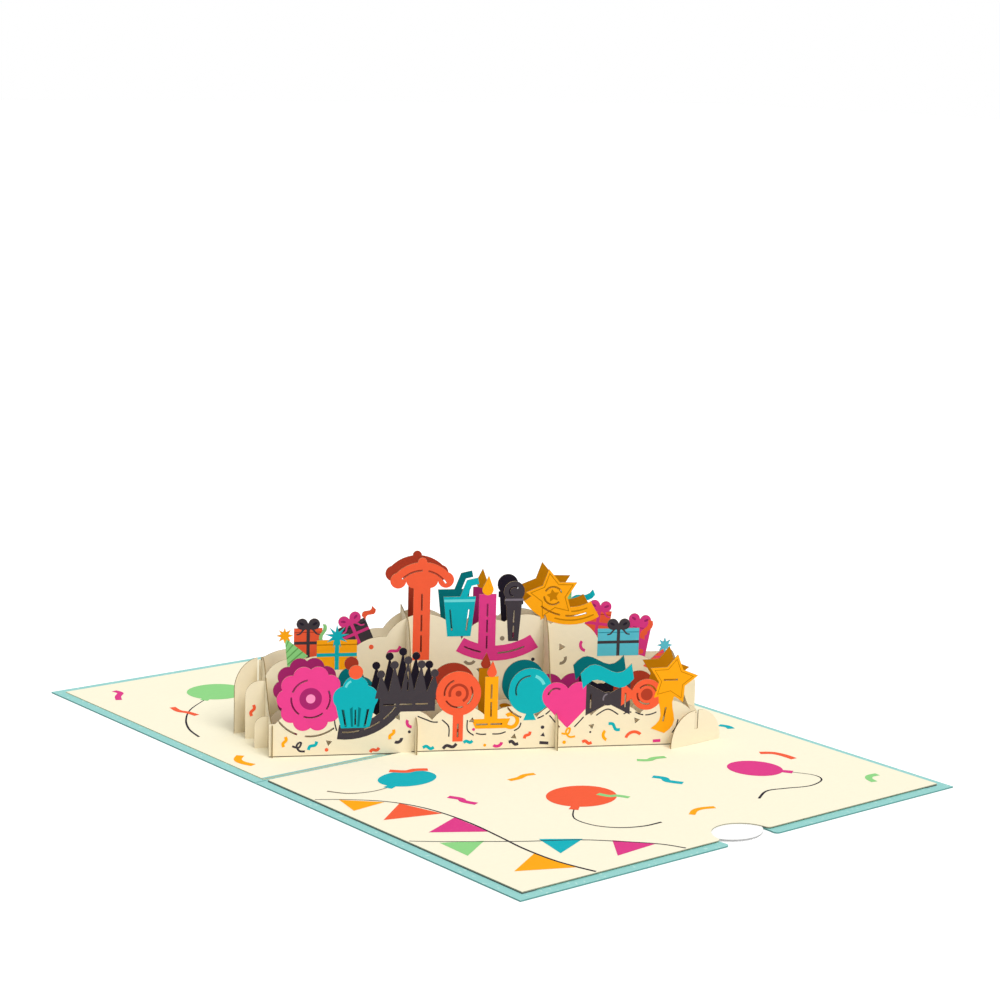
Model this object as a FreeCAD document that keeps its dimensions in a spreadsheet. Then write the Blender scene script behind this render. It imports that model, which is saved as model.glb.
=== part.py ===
"""Open pop-up party card: a folded cover lined with two sheets, a slide-out note card in a
pocket under the right-hand liner, and a lattice of slotted, die-cut slats that stands up
when the card lies open and shears flat when it closes.

Frame: millimetres, +Z up, origin on the surface the card lies on, under the middle of its
spine. The spine runs along Y, the left panel is -X and the panel with the note is +X.
"""
import FreeCAD, Part
import math
import os
import Sketcher

V = FreeCAD.Vector

# Driving dimensions

SIZES = {
    # card
    "panel_width": 127.0,
    "card_depth": 177.8,
    "cover_sheet": 0.4,
    "crease_width": 1.2,
    "crease_depth": 0.15,
    "liner_sheet": 0.3,
    "liner_margin": 3.6,
    "spine_gap": 2.5,
    # note card and its pocket
    "tape_sheet": 0.35,
    "tape_width": 5.0,
    "note_sheet": 0.3,
    "note_clearance": 1.0,
    "note_inset": 7.5,
    "notch_radius": 9.8,
    "notch_inset": 3.8,
    "mouth_radius": 1.5,
    "tab_radius": 10.9,
    "tab_inset": 0.5,
    # lattice
    "slat_sheet": 0.35,
    "slot_play": 0.15,
    "slat_angle": 28.5,
    "bay_length": 46.2,
    "anchor_lap": 1.1,
    "lattice_shift": -1.6,
    "end_strip": 0.7,
    "tab_past_anchor": 0.15,
    "tongue_reach": 3.6,
    "front_height": 11.0,
    "second_height": 10.5,
    "third_height": 19.5,
    "back_height": 24.5,
    "second_wing": 4.6,
    "third_wing": 6.6,
    "ridge_height": 38.0,
    "upper_row_drop": 0.5,
    # anchors
    "left_anchor_length": 19.4,
    "right_anchor_length": 22.0,
    "anchor_rise": 0.4,
    "foot_length": 12.0,
    # cuts
    "slit_width": 0.45,
}

doc = FreeCAD.newDocument("pop_up_card")
sheet = doc.addObject("Spreadsheet::Sheet", "Sizes")
for row, (alias, value) in enumerate(SIZES.items(), start=1):
    sheet.set(f"A{row}", alias)
    sheet.set(f"B{row}", str(value))
    sheet.setAlias(f"B{row}", alias)
doc.recompute()


def size(alias):
    return float(sheet.get(alias))


# Levels of the sheets above the table

COVER_TOP = "Sizes.cover_sheet"
LEFT_TOP = "(Sizes.cover_sheet + Sizes.liner_sheet)"
POCKET_TOP = "(Sizes.cover_sheet + Sizes.tape_sheet)"
cover_top = size("cover_sheet")
left_top = cover_top + size("liner_sheet")
pocket_top = cover_top + size("tape_sheet")
right_top = pocket_top + size("liner_sheet")

# Plan of the lattice. Its two anchors stand the same way off the spine, and the depth
# makes the distance between them along the spine the same open and closed, so the
# lattice shears flat when the card shuts.

sheet_t = size("slat_sheet")
slot = sheet_t + size("slot_play")
lean = math.radians(size("slat_angle"))
bay = size("bay_length")
lap = size("anchor_lap")
span = 3 * bay
anchor_span = span + 2 * lap
depth = anchor_span * (1 - math.cos(lean)) / (1 - math.sin(lean))
gap = depth / 3
along = V(math.sin(lean), math.cos(lean), 0)
across = V(-math.cos(lean), math.sin(lean), 0)
corner = V(0, size("lattice_shift"), 0) - along * (span / 2) - across * (depth / 2)
right_anchor = corner + along * (span + lap)
left_anchor = corner - along * lap + across * depth
turn = 90.0 - size("slat_angle")

# A slot where two sheets cross aslant is wider than one where they cross square.
anchor_slot = sheet_t * (1 + math.cos(lean)) / math.sin(lean) + size("slot_play")
end_reach = slot / 2 + size("end_strip")
tab_reach = lap + size("tab_past_anchor")

front, second = size("front_height"), size("second_height")
third, back = size("third_height"), size("back_height")
ridge = size("ridge_height")
upper = third - size("upper_row_drop")
tall = 3 * ridge


# Flat outlines in a slat's own plane: x along the slat, z up from the liner

def polygon(points):
    corners = [V(x, 0, z) for x, z in points]
    return Part.Face(Part.makePolygon(corners + corners[:1]))


def disc(x, z, radius):
    return Part.Face(Part.Wire(Part.makeCircle(radius, V(x, 0, z), V(0, 1, 0))))


def block(x0, z0, x1, z1):
    return polygon([(x0, z0), (x1, z0), (x1, z1), (x0, z1)])


def bar(x0, z0, x1, z1, width):
    """Straight stripe from one point to another with square ends."""
    length = math.hypot(x1 - x0, z1 - z0)
    dx = (z1 - z0) / length * width / 2
    dz = -(x1 - x0) / length * width / 2
    return polygon([(x0 - dx, z0 - dz), (x1 - dx, z1 - dz), (x1 + dx, z1 + dz), (x0 + dx, z0 + dz)])


def polar(x, z, radius, degrees):
    angle = math.radians(degrees)
    return (x + radius * math.cos(angle), z + radius * math.sin(angle))


def bow_band(x, z, radius, width, start, end):
    """Part of a ring of the given width, between two angles in degrees."""
    middle = (start + end) / 2
    outer = [polar(x, z, radius + width / 2, a) for a in (start, middle, end)]
    inner = [polar(x, z, radius - width / 2, a) for a in (end, middle, start)]
    o, i = [[V(px, 0, pz) for px, pz in side] for side in (outer, inner)]
    edges = [Part.Arc(*o).toShape(), Part.makeLine(o[2], i[0]), Part.Arc(*i).toShape(),
             Part.makeLine(i[2], o[0])]
    return Part.Face(Part.Wire(edges))


def star(x, z, outer, inner, points, first=90.0):
    step = 180.0 / points
    radii = [outer if i % 2 == 0 else inner for i in range(2 * points)]
    return polygon([polar(x, z, r, first + step * i) for i, r in enumerate(radii)])


def wave(x0, z0, x1, z1, width, swing, turns=1.0, steps=10):
    """Ribbon that waves about a straight line from one point to another."""
    length = math.hypot(x1 - x0, z1 - z0)
    ux, uz = (x1 - x0) / length, (z1 - z0) / length
    upper, lower = [], []
    for i in range(steps + 1):
        f = i / steps
        lift = swing * math.sin(2 * math.pi * turns * f)
        for side, sign in ((upper, 0.5), (lower, -0.5)):
            off = lift + sign * width
            side.append((x0 + ux * length * f - uz * off, z0 + uz * length * f + ux * off))
    return polygon(upper + lower[::-1])


def shapes_of(parts):
    """Flat list of the faces in a nested list."""
    flat = []
    for part in parts:
        flat.extend(shapes_of(part) if isinstance(part, list) else [part])
    return flat


# Die-cut motifs, each drawn about its own foot: x from the middle, z up from the foot

def rosette(x, z):
    petals = [disc(*polar(x, z + 11, 7.6, 36 * i), 3.3) for i in range(10)]
    return [disc(x, z + 11, 8.4)] + petals


def cupcake(x, z):
    cup = polygon([(x - 4.6, z), (x + 4.6, z), (x + 6.6, z + 8.5), (x - 6.6, z + 8.5)])
    cream = [disc(x - 3.4, z + 10, 3.9), disc(x + 3.4, z + 10, 3.9), disc(x, z + 13, 4.2)]
    return [cup, disc(x, z + 18.4, 2.3)] + cream


def crown(x, z):
    band = block(x - 9, z, x + 9, z + 5)
    peaks = []
    for i, height in enumerate((12.5, 15.5, 17.0, 15.5, 12.5)):
        middle = x - 8 + 4 * i
        peaks.append(polygon([(middle - 2.6, z + 4.5), (middle + 2.6, z + 4.5),
                              (middle + 0.35 * (i - 2), z + height)]))
        peaks.append(disc(middle + 0.35 * (i - 2), z + height, 1.3))
    return [band] + peaks


def lollipop(x, z, height=16.0, radius=7.4, stick=3.4):
    return [block(x - stick / 2, z, x + stick / 2, z + height), disc(x, z + height, radius)]


def flame(x, z, width, height):
    """Drop standing on its round end."""
    r = width / 2
    return [disc(x, z + r, r), polygon([(x - 0.9 * r, z + 1.4 * r), (x + 0.9 * r, z + 1.4 * r),
                                       (x + 0.15 * r, z + height)])]


def candlestick(x, z, height=14.5, width=4.4):
    saucer = polygon([(x - 6.4, z + 3.2), (x - 5, z), (x + 5, z), (x + 6.4, z + 3.2)])
    candle = block(x - width / 2, z + 2.8, x + width / 2, z + 2.8 + height)
    handle = bow_band(x + 6.6, z + 2.4, 2.2, 1.3, -130, 130)
    return [saucer, candle, handle, flame(x, z + 2.6 + height, 3.2, 5.4)]


def balloon(x, z, radius=7.2):
    body = [disc(x, z + 2 + radius, radius), disc(x, z + 3.2 + radius, radius * 0.97)]
    knot = polygon([(x - 2.1, z), (x + 2.1, z), (x + 0.6, z + 3.4), (x - 0.6, z + 3.4)])
    return body + [knot]


def heart(x, z, lobe=4.6):
    wings = [disc(x - 0.86 * lobe, z + 2.35 * lobe, lobe), disc(x + 0.86 * lobe, z + 2.35 * lobe, lobe)]
    side = 0.86 * lobe + 0.76 * lobe
    point = polygon([(x, z), (x + side, z + 1.7 * lobe), (x, z + 2.9 * lobe), (x - side, z + 1.7 * lobe)])
    return wings + [point]


def bow_tie(x, z, reach=7.4, height=11.0):
    loops = []
    for sign in (-1, 1):
        loops.append(polygon([(x, z + height * 0.36), (x + sign * reach, z),
                              (x + sign * reach, z + height), (x, z + height * 0.64)]))
    return loops + [disc(x, z + height / 2, 2.3)]


def sweet(x, z, radius=5.2):
    wrappers = []
    for sign in (-1, 1):
        wrappers.append(polygon([(x + sign * radius * 0.6, z), (x + sign * (radius + 3.4), z + 4.4),
                                 (x + sign * (radius + 3.4), z - 3.6)]))
    return wrappers + [disc(x, z, radius)]


def trailing_star(x, z):
    tail = wave(x - 4.6, z - 17.2, x + 0.4, z - 4.0, 5.0, -1.7, turns=0.9, steps=8)
    return [star(x, z, 8.6, 4.7, 5, first=80), tail]


def parasol(x, z, height=33.0, radius=12.2):
    top = z + height
    spread = radius * math.sqrt(0.75)
    rim = top - radius / 2
    left, right = V(x - spread, 0, rim), V(x + spread, 0, rim)
    dome = Part.Arc(left, V(x, 0, top), right).toShape()
    canopy = Part.Face(Part.Wire([dome, Part.makeLine(right, left)]))
    scallops = [disc(x + spread * (i - 1.5) / 2, rim, spread / 4) for i in range(4)]
    return [canopy, block(x - 2.8, z, x + 2.8, top - 4)] + scallops + [disc(x, top, 1.5)]


def tumbler(x, z):
    cup = polygon([(x - 3.9, z), (x + 3.9, z), (x + 5.4, z + 13.4), (x - 5.4, z + 13.4)])
    straw = [bar(x + 0.4, z + 11, x + 3.4, z + 18.6, 2.2), bar(x + 2.9, z + 17.9, x + 6.2, z + 18.6, 2.2)]
    return [cup] + straw


def tall_candle(x, z, height=22.5, width=5.8):
    dish = bow_band(x + 3.0, z + 26.4, 24.0, 5.2, 240, 303)
    candle = block(x - width / 2, z + 2, x + width / 2, z + height)
    return [dish, candle, flame(x, z + height - 0.4, 3.8, 6.6)]


def microphone(x, z, height=13.6):
    grip = polygon([(x - 1.7, z), (x + 1.7, z), (x + 2.7, z + height), (x - 2.7, z + height)])
    collar = block(x - 3.1, z + height - 1.2, x + 3.1, z + height + 0.8)
    return [grip, collar, disc(x, z + height + 3.2, 3.5)]


def comet(x, z):
    tail = bow_band(x + 6.2, z + 9.4, 16.4, 6.0, 215, 300)
    return [star(x, z, 9.2, 5.0, 5, first=100), tail]


def gift(x, z, width, height, tilt=0.0):
    """Wrapped box whose foot is centred on x, z, turned about that foot."""
    box = block(x - width / 2, z, x + width / 2, z + height)
    bow = [disc(x - 2.0, z + height + 1.4, 1.9), disc(x + 2.0, z + height + 1.4, 1.9),
           disc(x, z + height + 0.5, 1.2)]
    parts = [box] + bow
    for part in parts:
        part.rotate(V(x, 0, z), V(0, -1, 0), tilt)
    return parts


def burst_gift(x, z, width, height):
    return [block(x - width / 2, z, x + width / 2, z + height), star(x, z + height + 1.2, 4.0, 1.5, 9)]


def party_hat(x, z, width, height, tilt=0.0):
    cone = polygon([(x - width / 2, z), (x + width / 2, z), (x, z + height)])
    cone.rotate(V(x, 0, z), V(0, -1, 0), tilt)
    tip = polar(x, z, height, 90 + tilt)
    return [cone, star(tip[0], tip[1] + 0.6, 2.7, 1.3, 8)]


# What stands where: middle of each motif along the slat, and the height of its foot
# above the slat's plain base. Places along a slat are given for bays of one length, and
# spread out or close up with the bays.

DRAWN_BAY = 46.2


def at(x, shapes):
    """Shapes drawn about zero, set where the place x comes on the slat."""
    flat = shapes_of(shapes)
    for shape in flat:
        shape.translate(V(x * bay / DRAWN_BAY, 0, 0))
    return flat


LOW_ROW = [
    (rosette, 12.2, -3.0), (cupcake, 26.6, -2.0), (crown, 43.4, 3.0), (lollipop, 60.0, -7.5),
    (candlestick, 70.8, -3.4), (balloon, 83.6, -1.0), (heart, 96.2, -4.0), (bow_tie, 109.6, 0.0),
    (sweet, 122.6, 6.6), (trailing_star, 131.2, 11.4),
]
HIGH_ROW = [
    (parasol, 51.0, 6.2), (tumbler, 63.6, 14.0), (tall_candle, 73.0, 5.6), (microphone, 81.9, 12.0),
    (comet, 95.0, 27.2),
]


def low_row(base):
    """The lower row, with the crown's ribbon and the streamer over the bow tie."""
    motifs = [at(x, motif(0, base + foot)) for motif, x, foot in LOW_ROW]
    ribbon = at(34.0, [bow_band(-10.2, base + 16.0, 19.4, 4.8, 262, 333)])
    streamer = at(109.1, [wave(-8.5, base + 11.6, 8.5, base + 14.6, 5.2, 2.2)])
    return [motifs, ribbon, streamer]


def high_row(base):
    return [at(x, motif(0, base + foot)) for motif, x, foot in HIGH_ROW]


def front_presents(base):
    """Presents and hats that stand on the third slat."""
    return [at(10.4, party_hat(0, base + 6.1, 7.6, 9.2, tilt=28)),
            at(23.2, burst_gift(0, base + 3.1, 13.2, 10.0)),
            at(117.8, gift(0, base + 5.7, 14.2, 9.4)),
            at(130.4, party_hat(0, base + 0.3, 8.2, 8.8, tilt=-24))]


def back_presents(base):
    """Presents that stand on the back slat, with streamers that fly off them."""
    tall_gift = gift(0, base - 0.5, 9.4, 10.0) + [wave(4.4, base + 5.0, 5.4, base + 10.7, 1.2, 0.5, steps=6)]
    turned_gift = gift(0, base + 3.9, 9.8, 7.6, tilt=23)
    turned_gift.append(wave(1.2, base + 12.7, 4.6, base + 16.1, 1.8, 0.7, steps=6))
    high_gift = gift(0, base + 4.5, 8.6, 9.4, tilt=-8)
    high_gift.append(wave(-8.8, base + 16.5, -0.8, base + 20.1, 2.0, 0.8, steps=6))
    end_gift = gift(0, base - 3.0, 8.8, 12.0, tilt=-10)
    end_gift.append(wave(3.4, base + 3.5, 6.0, base + 9.9, 1.8, 0.7, steps=6))
    stem = [block(-1.8, base + 11.5, 1.8, base + 21.5)]
    return [at(15.0, tall_gift), at(32.2, turned_gift), at(102.0, stem), at(112.4, high_gift),
            at(125.6, end_gift)]


# Clouds that carry the motifs: middle, foot above the slat's base, and radius

def clouds(base, rows):
    """Cloud tops, kept between the end cross slats."""
    between = block(0, -tall, span, tall)
    tops = [at(x, [disc(0, base + foot, radius)]) for x, foot, radius in rows]
    return [top.common(between).Faces for top in shapes_of(tops)]


LOW_CLOUDS = [(9.0 + 17.2 * i, -6.6, 10.4 + 0.8 * (i % 2)) for i in range(8)]
THIRD_CLOUDS = [(8.2, -1.9, 9.0), (17.0, -2.5, 10.3), (38.3, -0.2, 14.1), (51.7, 7.5, 13.8),
                (74.3, 8.7, 10.4), (86.0, 8.5, 12.0), (100.0, 6.5, 12.0), (116.5, -3.5, 11.0),
                (123.0, -4.0, 10.0), (131.0, -7.0, 9.0)]
BACK_CLOUDS = [(9.8, -15.6, 18.3), (38.3, -5.0, 14.1), (51.7, 1.8, 13.8), (74.3, 3.1, 10.4),
               (86.0, 3.0, 12.0), (100.0, 1.0, 12.0), (114.5, -5.0, 10.2)]


# Cuts in the motifs and bases

def dash(x0, z0, x1, z1):
    return bar(x0, z0, x1, z1, size("slit_width"))


def arc_dashes(x, z, radius, start, end, count):
    """Row of curved slits with short bridges between them."""
    step = (end - start) / count
    return [bow_band(x, z, radius, size("slit_width"), start + step * i, start + step * (i + 0.78))
            for i in range(count)]


def line_dashes(x0, z0, x1, z1, count):
    cuts = []
    for i in range(count):
        f0, f1 = i / count, (i + 0.78) / count
        cuts.append(dash(x0 + (x1 - x0) * f0, z0 + (z1 - z0) * f0, x0 + (x1 - x0) * f1, z0 + (z1 - z0) * f1))
    return cuts


def triangle_cut(x, z, side, first):
    return at(x, [polygon([polar(0, z, side / math.sqrt(3), first + 120 * i) for i in range(3)])])


def low_cuts(b):
    """Slits that follow the motifs of the lower row, and small confetti windows."""
    rosette_cuts = [arc_dashes(0, b + 8, 6.2, 100, 400, 4), arc_dashes(0, b + 8, 12.4, 205, 320, 2)]
    cupcake_cuts = [line_dashes(-3.2, b - 1, -4.4, b + 5.4, 1), line_dashes(0, b - 1, 0, b + 5.4, 1),
                    line_dashes(3.2, b - 1, 4.4, b + 5.4, 1)]
    crown_cuts = [line_dashes(-7.8, b + 5.4, 7.8, b + 5.4, 3), line_dashes(0, b + 10, 0, b + 17, 2)]
    lollipop_cuts = [arc_dashes(0, b + 8.5, 4.6, 110, 410, 3), line_dashes(0, b - 6, 0, b - 0.4, 1)]
    candle_cuts = [line_dashes(0, b + 0.6, 0, b + 12.6, 2), line_dashes(-4.8, b - 2, 4.8, b - 2, 2)]
    balloon_cuts = [arc_dashes(0, b + 9, 4.8, 90, 230, 1), arc_dashes(0, b + 8.6, 9.0, 215, 262, 1)]
    bow_tie_cuts = [line_dashes(-5.8, b + 2.4, -5.8, b + 8.6, 1), line_dashes(5.8, b + 2.4, 5.8, b + 8.6, 1)]
    star_cuts = [line_dashes(-3.0, b + 11.4, 3.0, b + 11.4, 1), line_dashes(-2.8, b - 2.6, -1.8, b + 3.4, 1)]
    return [
        at(12.2, rosette_cuts), at(26.6, cupcake_cuts), at(43.4, crown_cuts), at(60.0, lollipop_cuts),
        at(34.0, arc_dashes(-10.2, b + 16, 19.4, 266, 329, 3)), at(70.8, candle_cuts), at(83.6, balloon_cuts),
        at(96.2, arc_dashes(-4.0, b + 6.8, 2.6, 60, 200, 1)), at(109.6, bow_tie_cuts),
        at(122.6, arc_dashes(0, b + 6.6, 3.2, 20, 320, 2)), at(131.2, star_cuts),
        triangle_cut(18.2, b - 6.6, 1.8, 20), triangle_cut(40.4, b + 1.2, 1.8, 60),
        triangle_cut(64.6, b - 0.6, 1.7, 80), triangle_cut(78.6, b - 6.4, 1.7, 200),
        triangle_cut(104.4, b - 3.6, 1.7, 40), triangle_cut(119.4, b - 2.0, 1.8, 10),
    ]


def high_cuts(b):
    """Slits that follow the motifs of the upper row, and small confetti windows."""
    parasol_cuts = [line_dashes(0, b + 9, 0, b + 30, 3), arc_dashes(0, b + 27, 9.4, 32, 148, 2)]
    tumbler_cuts = [line_dashes(-2.4, b + 16, -3.4, b + 25, 1), line_dashes(2.4, b + 16, 3.4, b + 25, 1)]
    candle_cuts = [line_dashes(0, b + 9.6, 0, b + 26, 3), arc_dashes(3, b + 32, 24, 244, 262, 1),
                   arc_dashes(3, b + 32, 24, 272, 300, 1)]
    microphone_cuts = [line_dashes(0, b + 13, 0, b + 23.6, 2), arc_dashes(0, b + 28.8, 1.6, 40, 320, 1)]
    comet_cuts = [arc_dashes(0, b + 27.2, 3.0, 20, 350, 2), arc_dashes(6.2, b + 36.6, 16.4, 232, 296, 2)]
    return [
        at(51.0, parasol_cuts), at(63.6, tumbler_cuts), at(73.0, candle_cuts),
        at(81.9, microphone_cuts), at(95.0, comet_cuts), triangle_cut(14.6, b - 5.4, 2.0, 200),
        triangle_cut(98.4, b + 9.6, 2.2, 0), triangle_cut(70.8, b + 2.4, 1.8, 40),
    ]


# Sheet solids

def joined(faces):
    """Face that joins flat outlines in one plane."""
    aligned = []
    for item in shapes_of(faces):
        if item.normalAt(0, 0).y < 0:
            item.reverse()
        aligned.append(item)
    return aligned[0].multiFuse(aligned[1:]).removeSplitter()


def sheet_solid(outline, cuts):
    """One sheet, centred on its plane, with its cuts taken out."""
    solid = joined(outline).cut(shapes_of(cuts)).extrude(V(0, sheet_t, 0))
    solid.translate(V(0, -sheet_t / 2, 0))
    return solid


def add_sheet(label, solid, place):
    """Sheet as an object of the document, made in its own frame and then put in its place."""
    feature = doc.addObject("Part::Feature", label)
    feature.Label = label
    feature.Shape = solid.Solids[0] if len(solid.Solids) == 1 else solid
    feature.Placement = place.multiply(feature.Placement)
    return feature


def stand(x, y, z, angle):
    return FreeCAD.Placement(V(x, y, z), FreeCAD.Rotation(V(0, 0, 1), angle))


# Where slats and cross slats meet: the height that both have there, which the half laps
# share, from the front slat to the back one

MIDDLE_CROSSINGS = [front + 1.0, second + 4.5, third + 16.0, back + 13.0]
END_CROSSINGS = [front - 0.5, second, third, back - 0.5]


def crossings(column):
    return END_CROSSINGS if column in (0, 3) else MIDDLE_CROSSINGS


def lap_height(row, column):
    return crossings(column)[row] / 2


def slat_slots(row):
    """Slots from below, one over each cross slat."""
    return [block(bay * j - slot / 2, -1, bay * j + slot / 2, lap_height(row, j)) for j in range(4)]


def under_the_foot():
    """What of the motifs and clouds would reach below a slat's foot."""
    return block(-span, -tall, 2 * span, 0)


def under_the_tab(x, way, height):
    """What is missing below the tab by which a slat's end hangs in its anchor."""
    ends = sorted((x + way * slot / 4, x + way * 2 * tab_reach))
    return block(ends[0], -1, ends[1], height)


def rounded_wing(x_end, x_in, height, radius):
    """End of a slat past its cross slat, with its upper outer corner rounded."""
    sign = 1 if x_end > x_in else -1
    shoulder = x_end - sign * radius
    middle = polar(0, 0, radius, 45)
    edges = [Part.makeLine(V(x_in, 0, 0), V(x_end, 0, 0)),
             Part.makeLine(V(x_end, 0, 0), V(x_end, 0, height - radius)),
             Part.Arc(V(x_end, 0, height - radius),
                      V(shoulder + sign * middle[0], 0, height - radius + middle[1]),
                      V(shoulder, 0, height)).toShape(),
             Part.makeLine(V(shoulder, 0, height), V(x_in, 0, height)),
             Part.makeLine(V(x_in, 0, height), V(x_in, 0, 0))]
    return Part.Face(Part.Wire(edges))


def front_slat():
    outline = [block(-end_reach, 0, span + tab_reach, front), clouds(front, LOW_CLOUDS), low_row(front)]
    cuts = [slat_slots(0), under_the_tab(span, 1, front / 2), low_cuts(front), under_the_foot()]
    return sheet_solid(outline, cuts)


def second_slat():
    wing = size("second_wing")
    outline = [block(0, 0, span, second), rounded_wing(-wing, 1, second, wing * 0.72),
               rounded_wing(span + wing, span - 1, second, wing * 0.72), clouds(second, LOW_CLOUDS),
               low_row(front)]
    return sheet_solid(outline, [slat_slots(1), under_the_foot()])


def third_slat():
    wing = size("third_wing")
    outline = [block(0, 0, span, third), rounded_wing(-wing, 1, third, wing * 0.75),
               rounded_wing(span + wing, span - 1, third, wing * 0.75), clouds(third, THIRD_CLOUDS),
               high_row(upper), front_presents(third)]
    return sheet_solid(outline, [slat_slots(2), high_cuts(upper), under_the_foot()])


def back_slat():
    outline = [block(-tab_reach, 0, span + end_reach, back - 1), clouds(back, BACK_CLOUDS),
               high_row(upper), back_presents(back)]
    return sheet_solid(outline, [slat_slots(3), under_the_tab(0, -1, back / 2), under_the_foot()])


def profile(points, curved):
    """Outline of a cross slat: straight edges, with one smooth rise through given points."""
    start, end = curved
    rise = Part.BSplineCurve()
    rise.interpolate([V(x, 0, z) for x, z in points[start:end + 1]])
    edges = [rise.toShape()]
    rest = points[end:] + points[:start + 1]
    for (x0, z0), (x1, z1) in zip(rest, rest[1:]):
        edges.append(Part.makeLine(V(x0, 0, z0), V(x1, 0, z1)))
    return Part.Face(Part.Wire(edges))


def cross_slots(column):
    """Slots from above, one over each long slat."""
    return [block(gap * k - slot / 2, lap_height(k, column), gap * k + slot / 2, tall) for k in range(4)]


def middle_cross_slat(column):
    reach = size("tongue_reach")
    tongue = rounded_wing(-reach, 1, front + 1, reach)
    body = profile([(0, 0), (0, front + 1), (gap * 0.55, second + 5.5), (gap, ridge * 0.6),
                    (gap * 1.3, ridge * 0.84), (gap * 1.75, ridge + 1), (gap * 2, ridge + 1.7),
                    (gap * 3 + reach * 0.7, ridge + 3), (gap * 3 + reach * 0.7, 0)], (1, 6))
    return sheet_solid([tongue, body], cross_slots(column))


def end_cross_slat(column):
    """Its end beside an anchor is flush with the long slat, so that the anchor passes it."""
    near = end_reach if column == 0 else sheet_t / 2
    far = gap * 3 + (sheet_t / 2 if column == 0 else end_reach)
    body = profile([(-near, 0), (-near, front - 0.4), (gap * 0.6, front + 0.4), (gap * 1.2, front + 3.2),
                    (gap * 1.8, third - 0.8), (gap * 2.25, third + 3.3), (gap * 2.85, back),
                    (far, back), (far, 0)], (1, 6))
    return sheet_solid([body], cross_slots(column))


SLATS = [("front_slat", front_slat), ("second_slat", second_slat), ("third_slat", third_slat),
         ("back_slat", back_slat)]
CROSS_SLATS = [("left_cross_slat", end_cross_slat), ("left_middle_cross_slat", middle_cross_slat),
               ("right_middle_cross_slat", middle_cross_slat), ("right_cross_slat", end_cross_slat)]


def over_the_step(solid, place):
    """Sheet that stands on both liners: its foot is stepped where the right liner is higher."""
    panel, length = size("panel_width"), size("card_depth")
    step = Part.makeBox(panel, length, right_top, V(size("spine_gap") / 2, -length / 2, 0))
    step.Placement = place.inverse()
    return solid.cut(step)


parts = []
for k, (label, build) in enumerate(SLATS):
    foot = corner + across * (gap * k)
    place = stand(foot.x, foot.y, left_top, turn)
    parts.append(add_sheet(label, over_the_step(build(), place), place))
for j, (label, build) in enumerate(CROSS_SLATS):
    foot = corner + along * (bay * j)
    place = stand(foot.x, foot.y, left_top, turn + 90)
    parts.append(add_sheet(label, over_the_step(build(j), place), place))


# Anchors: short fins parallel to the spine, each with a foot in a slit of its liner

def anchor_fin(length, height, lap_from):
    """Fin whose two upper corners are as round as its length and height allow."""
    half = length / 2
    radius = min(half - 0.2, height - 1)
    foot = size("foot_length") / 2
    outline = [rounded_wing(half, 0, height, radius), rounded_wing(-half, 0, height, radius),
               block(-foot, -size("liner_sheet"), foot, 1)]
    return sheet_solid(outline, [block(-anchor_slot / 2, lap_from, anchor_slot / 2, tall)])


right_fin = anchor_fin(size("right_anchor_length"), front + size("anchor_rise"),
                       left_top + front / 2 - right_top)
left_fin = anchor_fin(size("left_anchor_length"), back, back / 2)
parts.append(add_sheet("right_anchor", right_fin, stand(right_anchor.x, right_anchor.y, right_top, 90)))
parts.append(add_sheet("left_anchor", left_fin, stand(left_anchor.x, left_anchor.y, left_top, 90)))


# Card sheets, made as padded sketches bound to the sheet of sizes

def origin_plane(body, role):
    return next(item for item in body.Origin.OriginFeatures if item.Role == role)


def new_sketch(body, name, level):
    sketch = body.newObject("Sketcher::SketchObject", name)
    sketch.AttachmentSupport = (origin_plane(body, "XY_Plane"), "")
    sketch.MapMode = "FlatFace"
    sketch.setExpression(".AttachmentOffset.Base.z", level)
    return sketch


def add_rectangle(sketch, low_x, high_x, low_y, high_y):
    """Rectangle whose sides lie at given distances from the origin, each a sign and an expression."""
    corners = [V(-1, -1, 0), V(1, -1, 0), V(1, 1, 0), V(-1, 1, 0)]
    first = sketch.GeometryCount
    for i in range(4):
        sketch.addGeometry(Part.LineSegment(corners[i], corners[(i + 1) % 4]), False)
    for i in range(4):
        sketch.addConstraint(Sketcher.Constraint("Coincident", first + i, 2, first + (i + 1) % 4, 1))
    for i, kind in enumerate(("Horizontal", "Vertical", "Horizontal", "Vertical")):
        sketch.addConstraint(Sketcher.Constraint(kind, first + i))
    sides = [("DistanceX", first, 1, low_x), ("DistanceX", first, 2, high_x),
             ("DistanceY", first, 1, low_y), ("DistanceY", first + 2, 1, high_y)]
    for kind, line, end, (sign, expression) in sides:
        points = (line, end, -1, 1) if sign < 0 else (-1, 1, line, end)
        index = sketch.addConstraint(Sketcher.Constraint(kind, *points, 1.0))
        sketch.setExpression(f"Constraints[{index}]", expression)


def add_circle(sketch, centre_x, radius):
    """Circle on the X axis at an expression from the origin."""
    circle = sketch.addGeometry(Part.Circle(V(1, 0, 0), V(0, 0, 1), 1), False)
    sketch.addConstraint(Sketcher.Constraint("PointOnObject", circle, 3, -1))
    index = sketch.addConstraint(Sketcher.Constraint("DistanceX", -1, 1, circle, 3, 1.0))
    sketch.setExpression(f"Constraints[{index}]", centre_x)
    index = sketch.addConstraint(Sketcher.Constraint("Radius", circle, 1.0))
    sketch.setExpression(f"Constraints[{index}]", radius)


def pad(body, sketch, thickness):
    feature = body.newObject("PartDesign::Pad", sketch.Name + "_pad")
    feature.Profile = sketch
    feature.setExpression("Length", thickness)
    sketch.Visibility = False
    doc.recompute()
    return feature


def pocket(body, sketch, length):
    feature = body.newObject("PartDesign::Pocket", sketch.Name + "_pocket")
    feature.Profile = sketch
    feature.Reversed = False
    feature.setExpression("Length", length)
    doc.recompute()
    return feature


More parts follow.
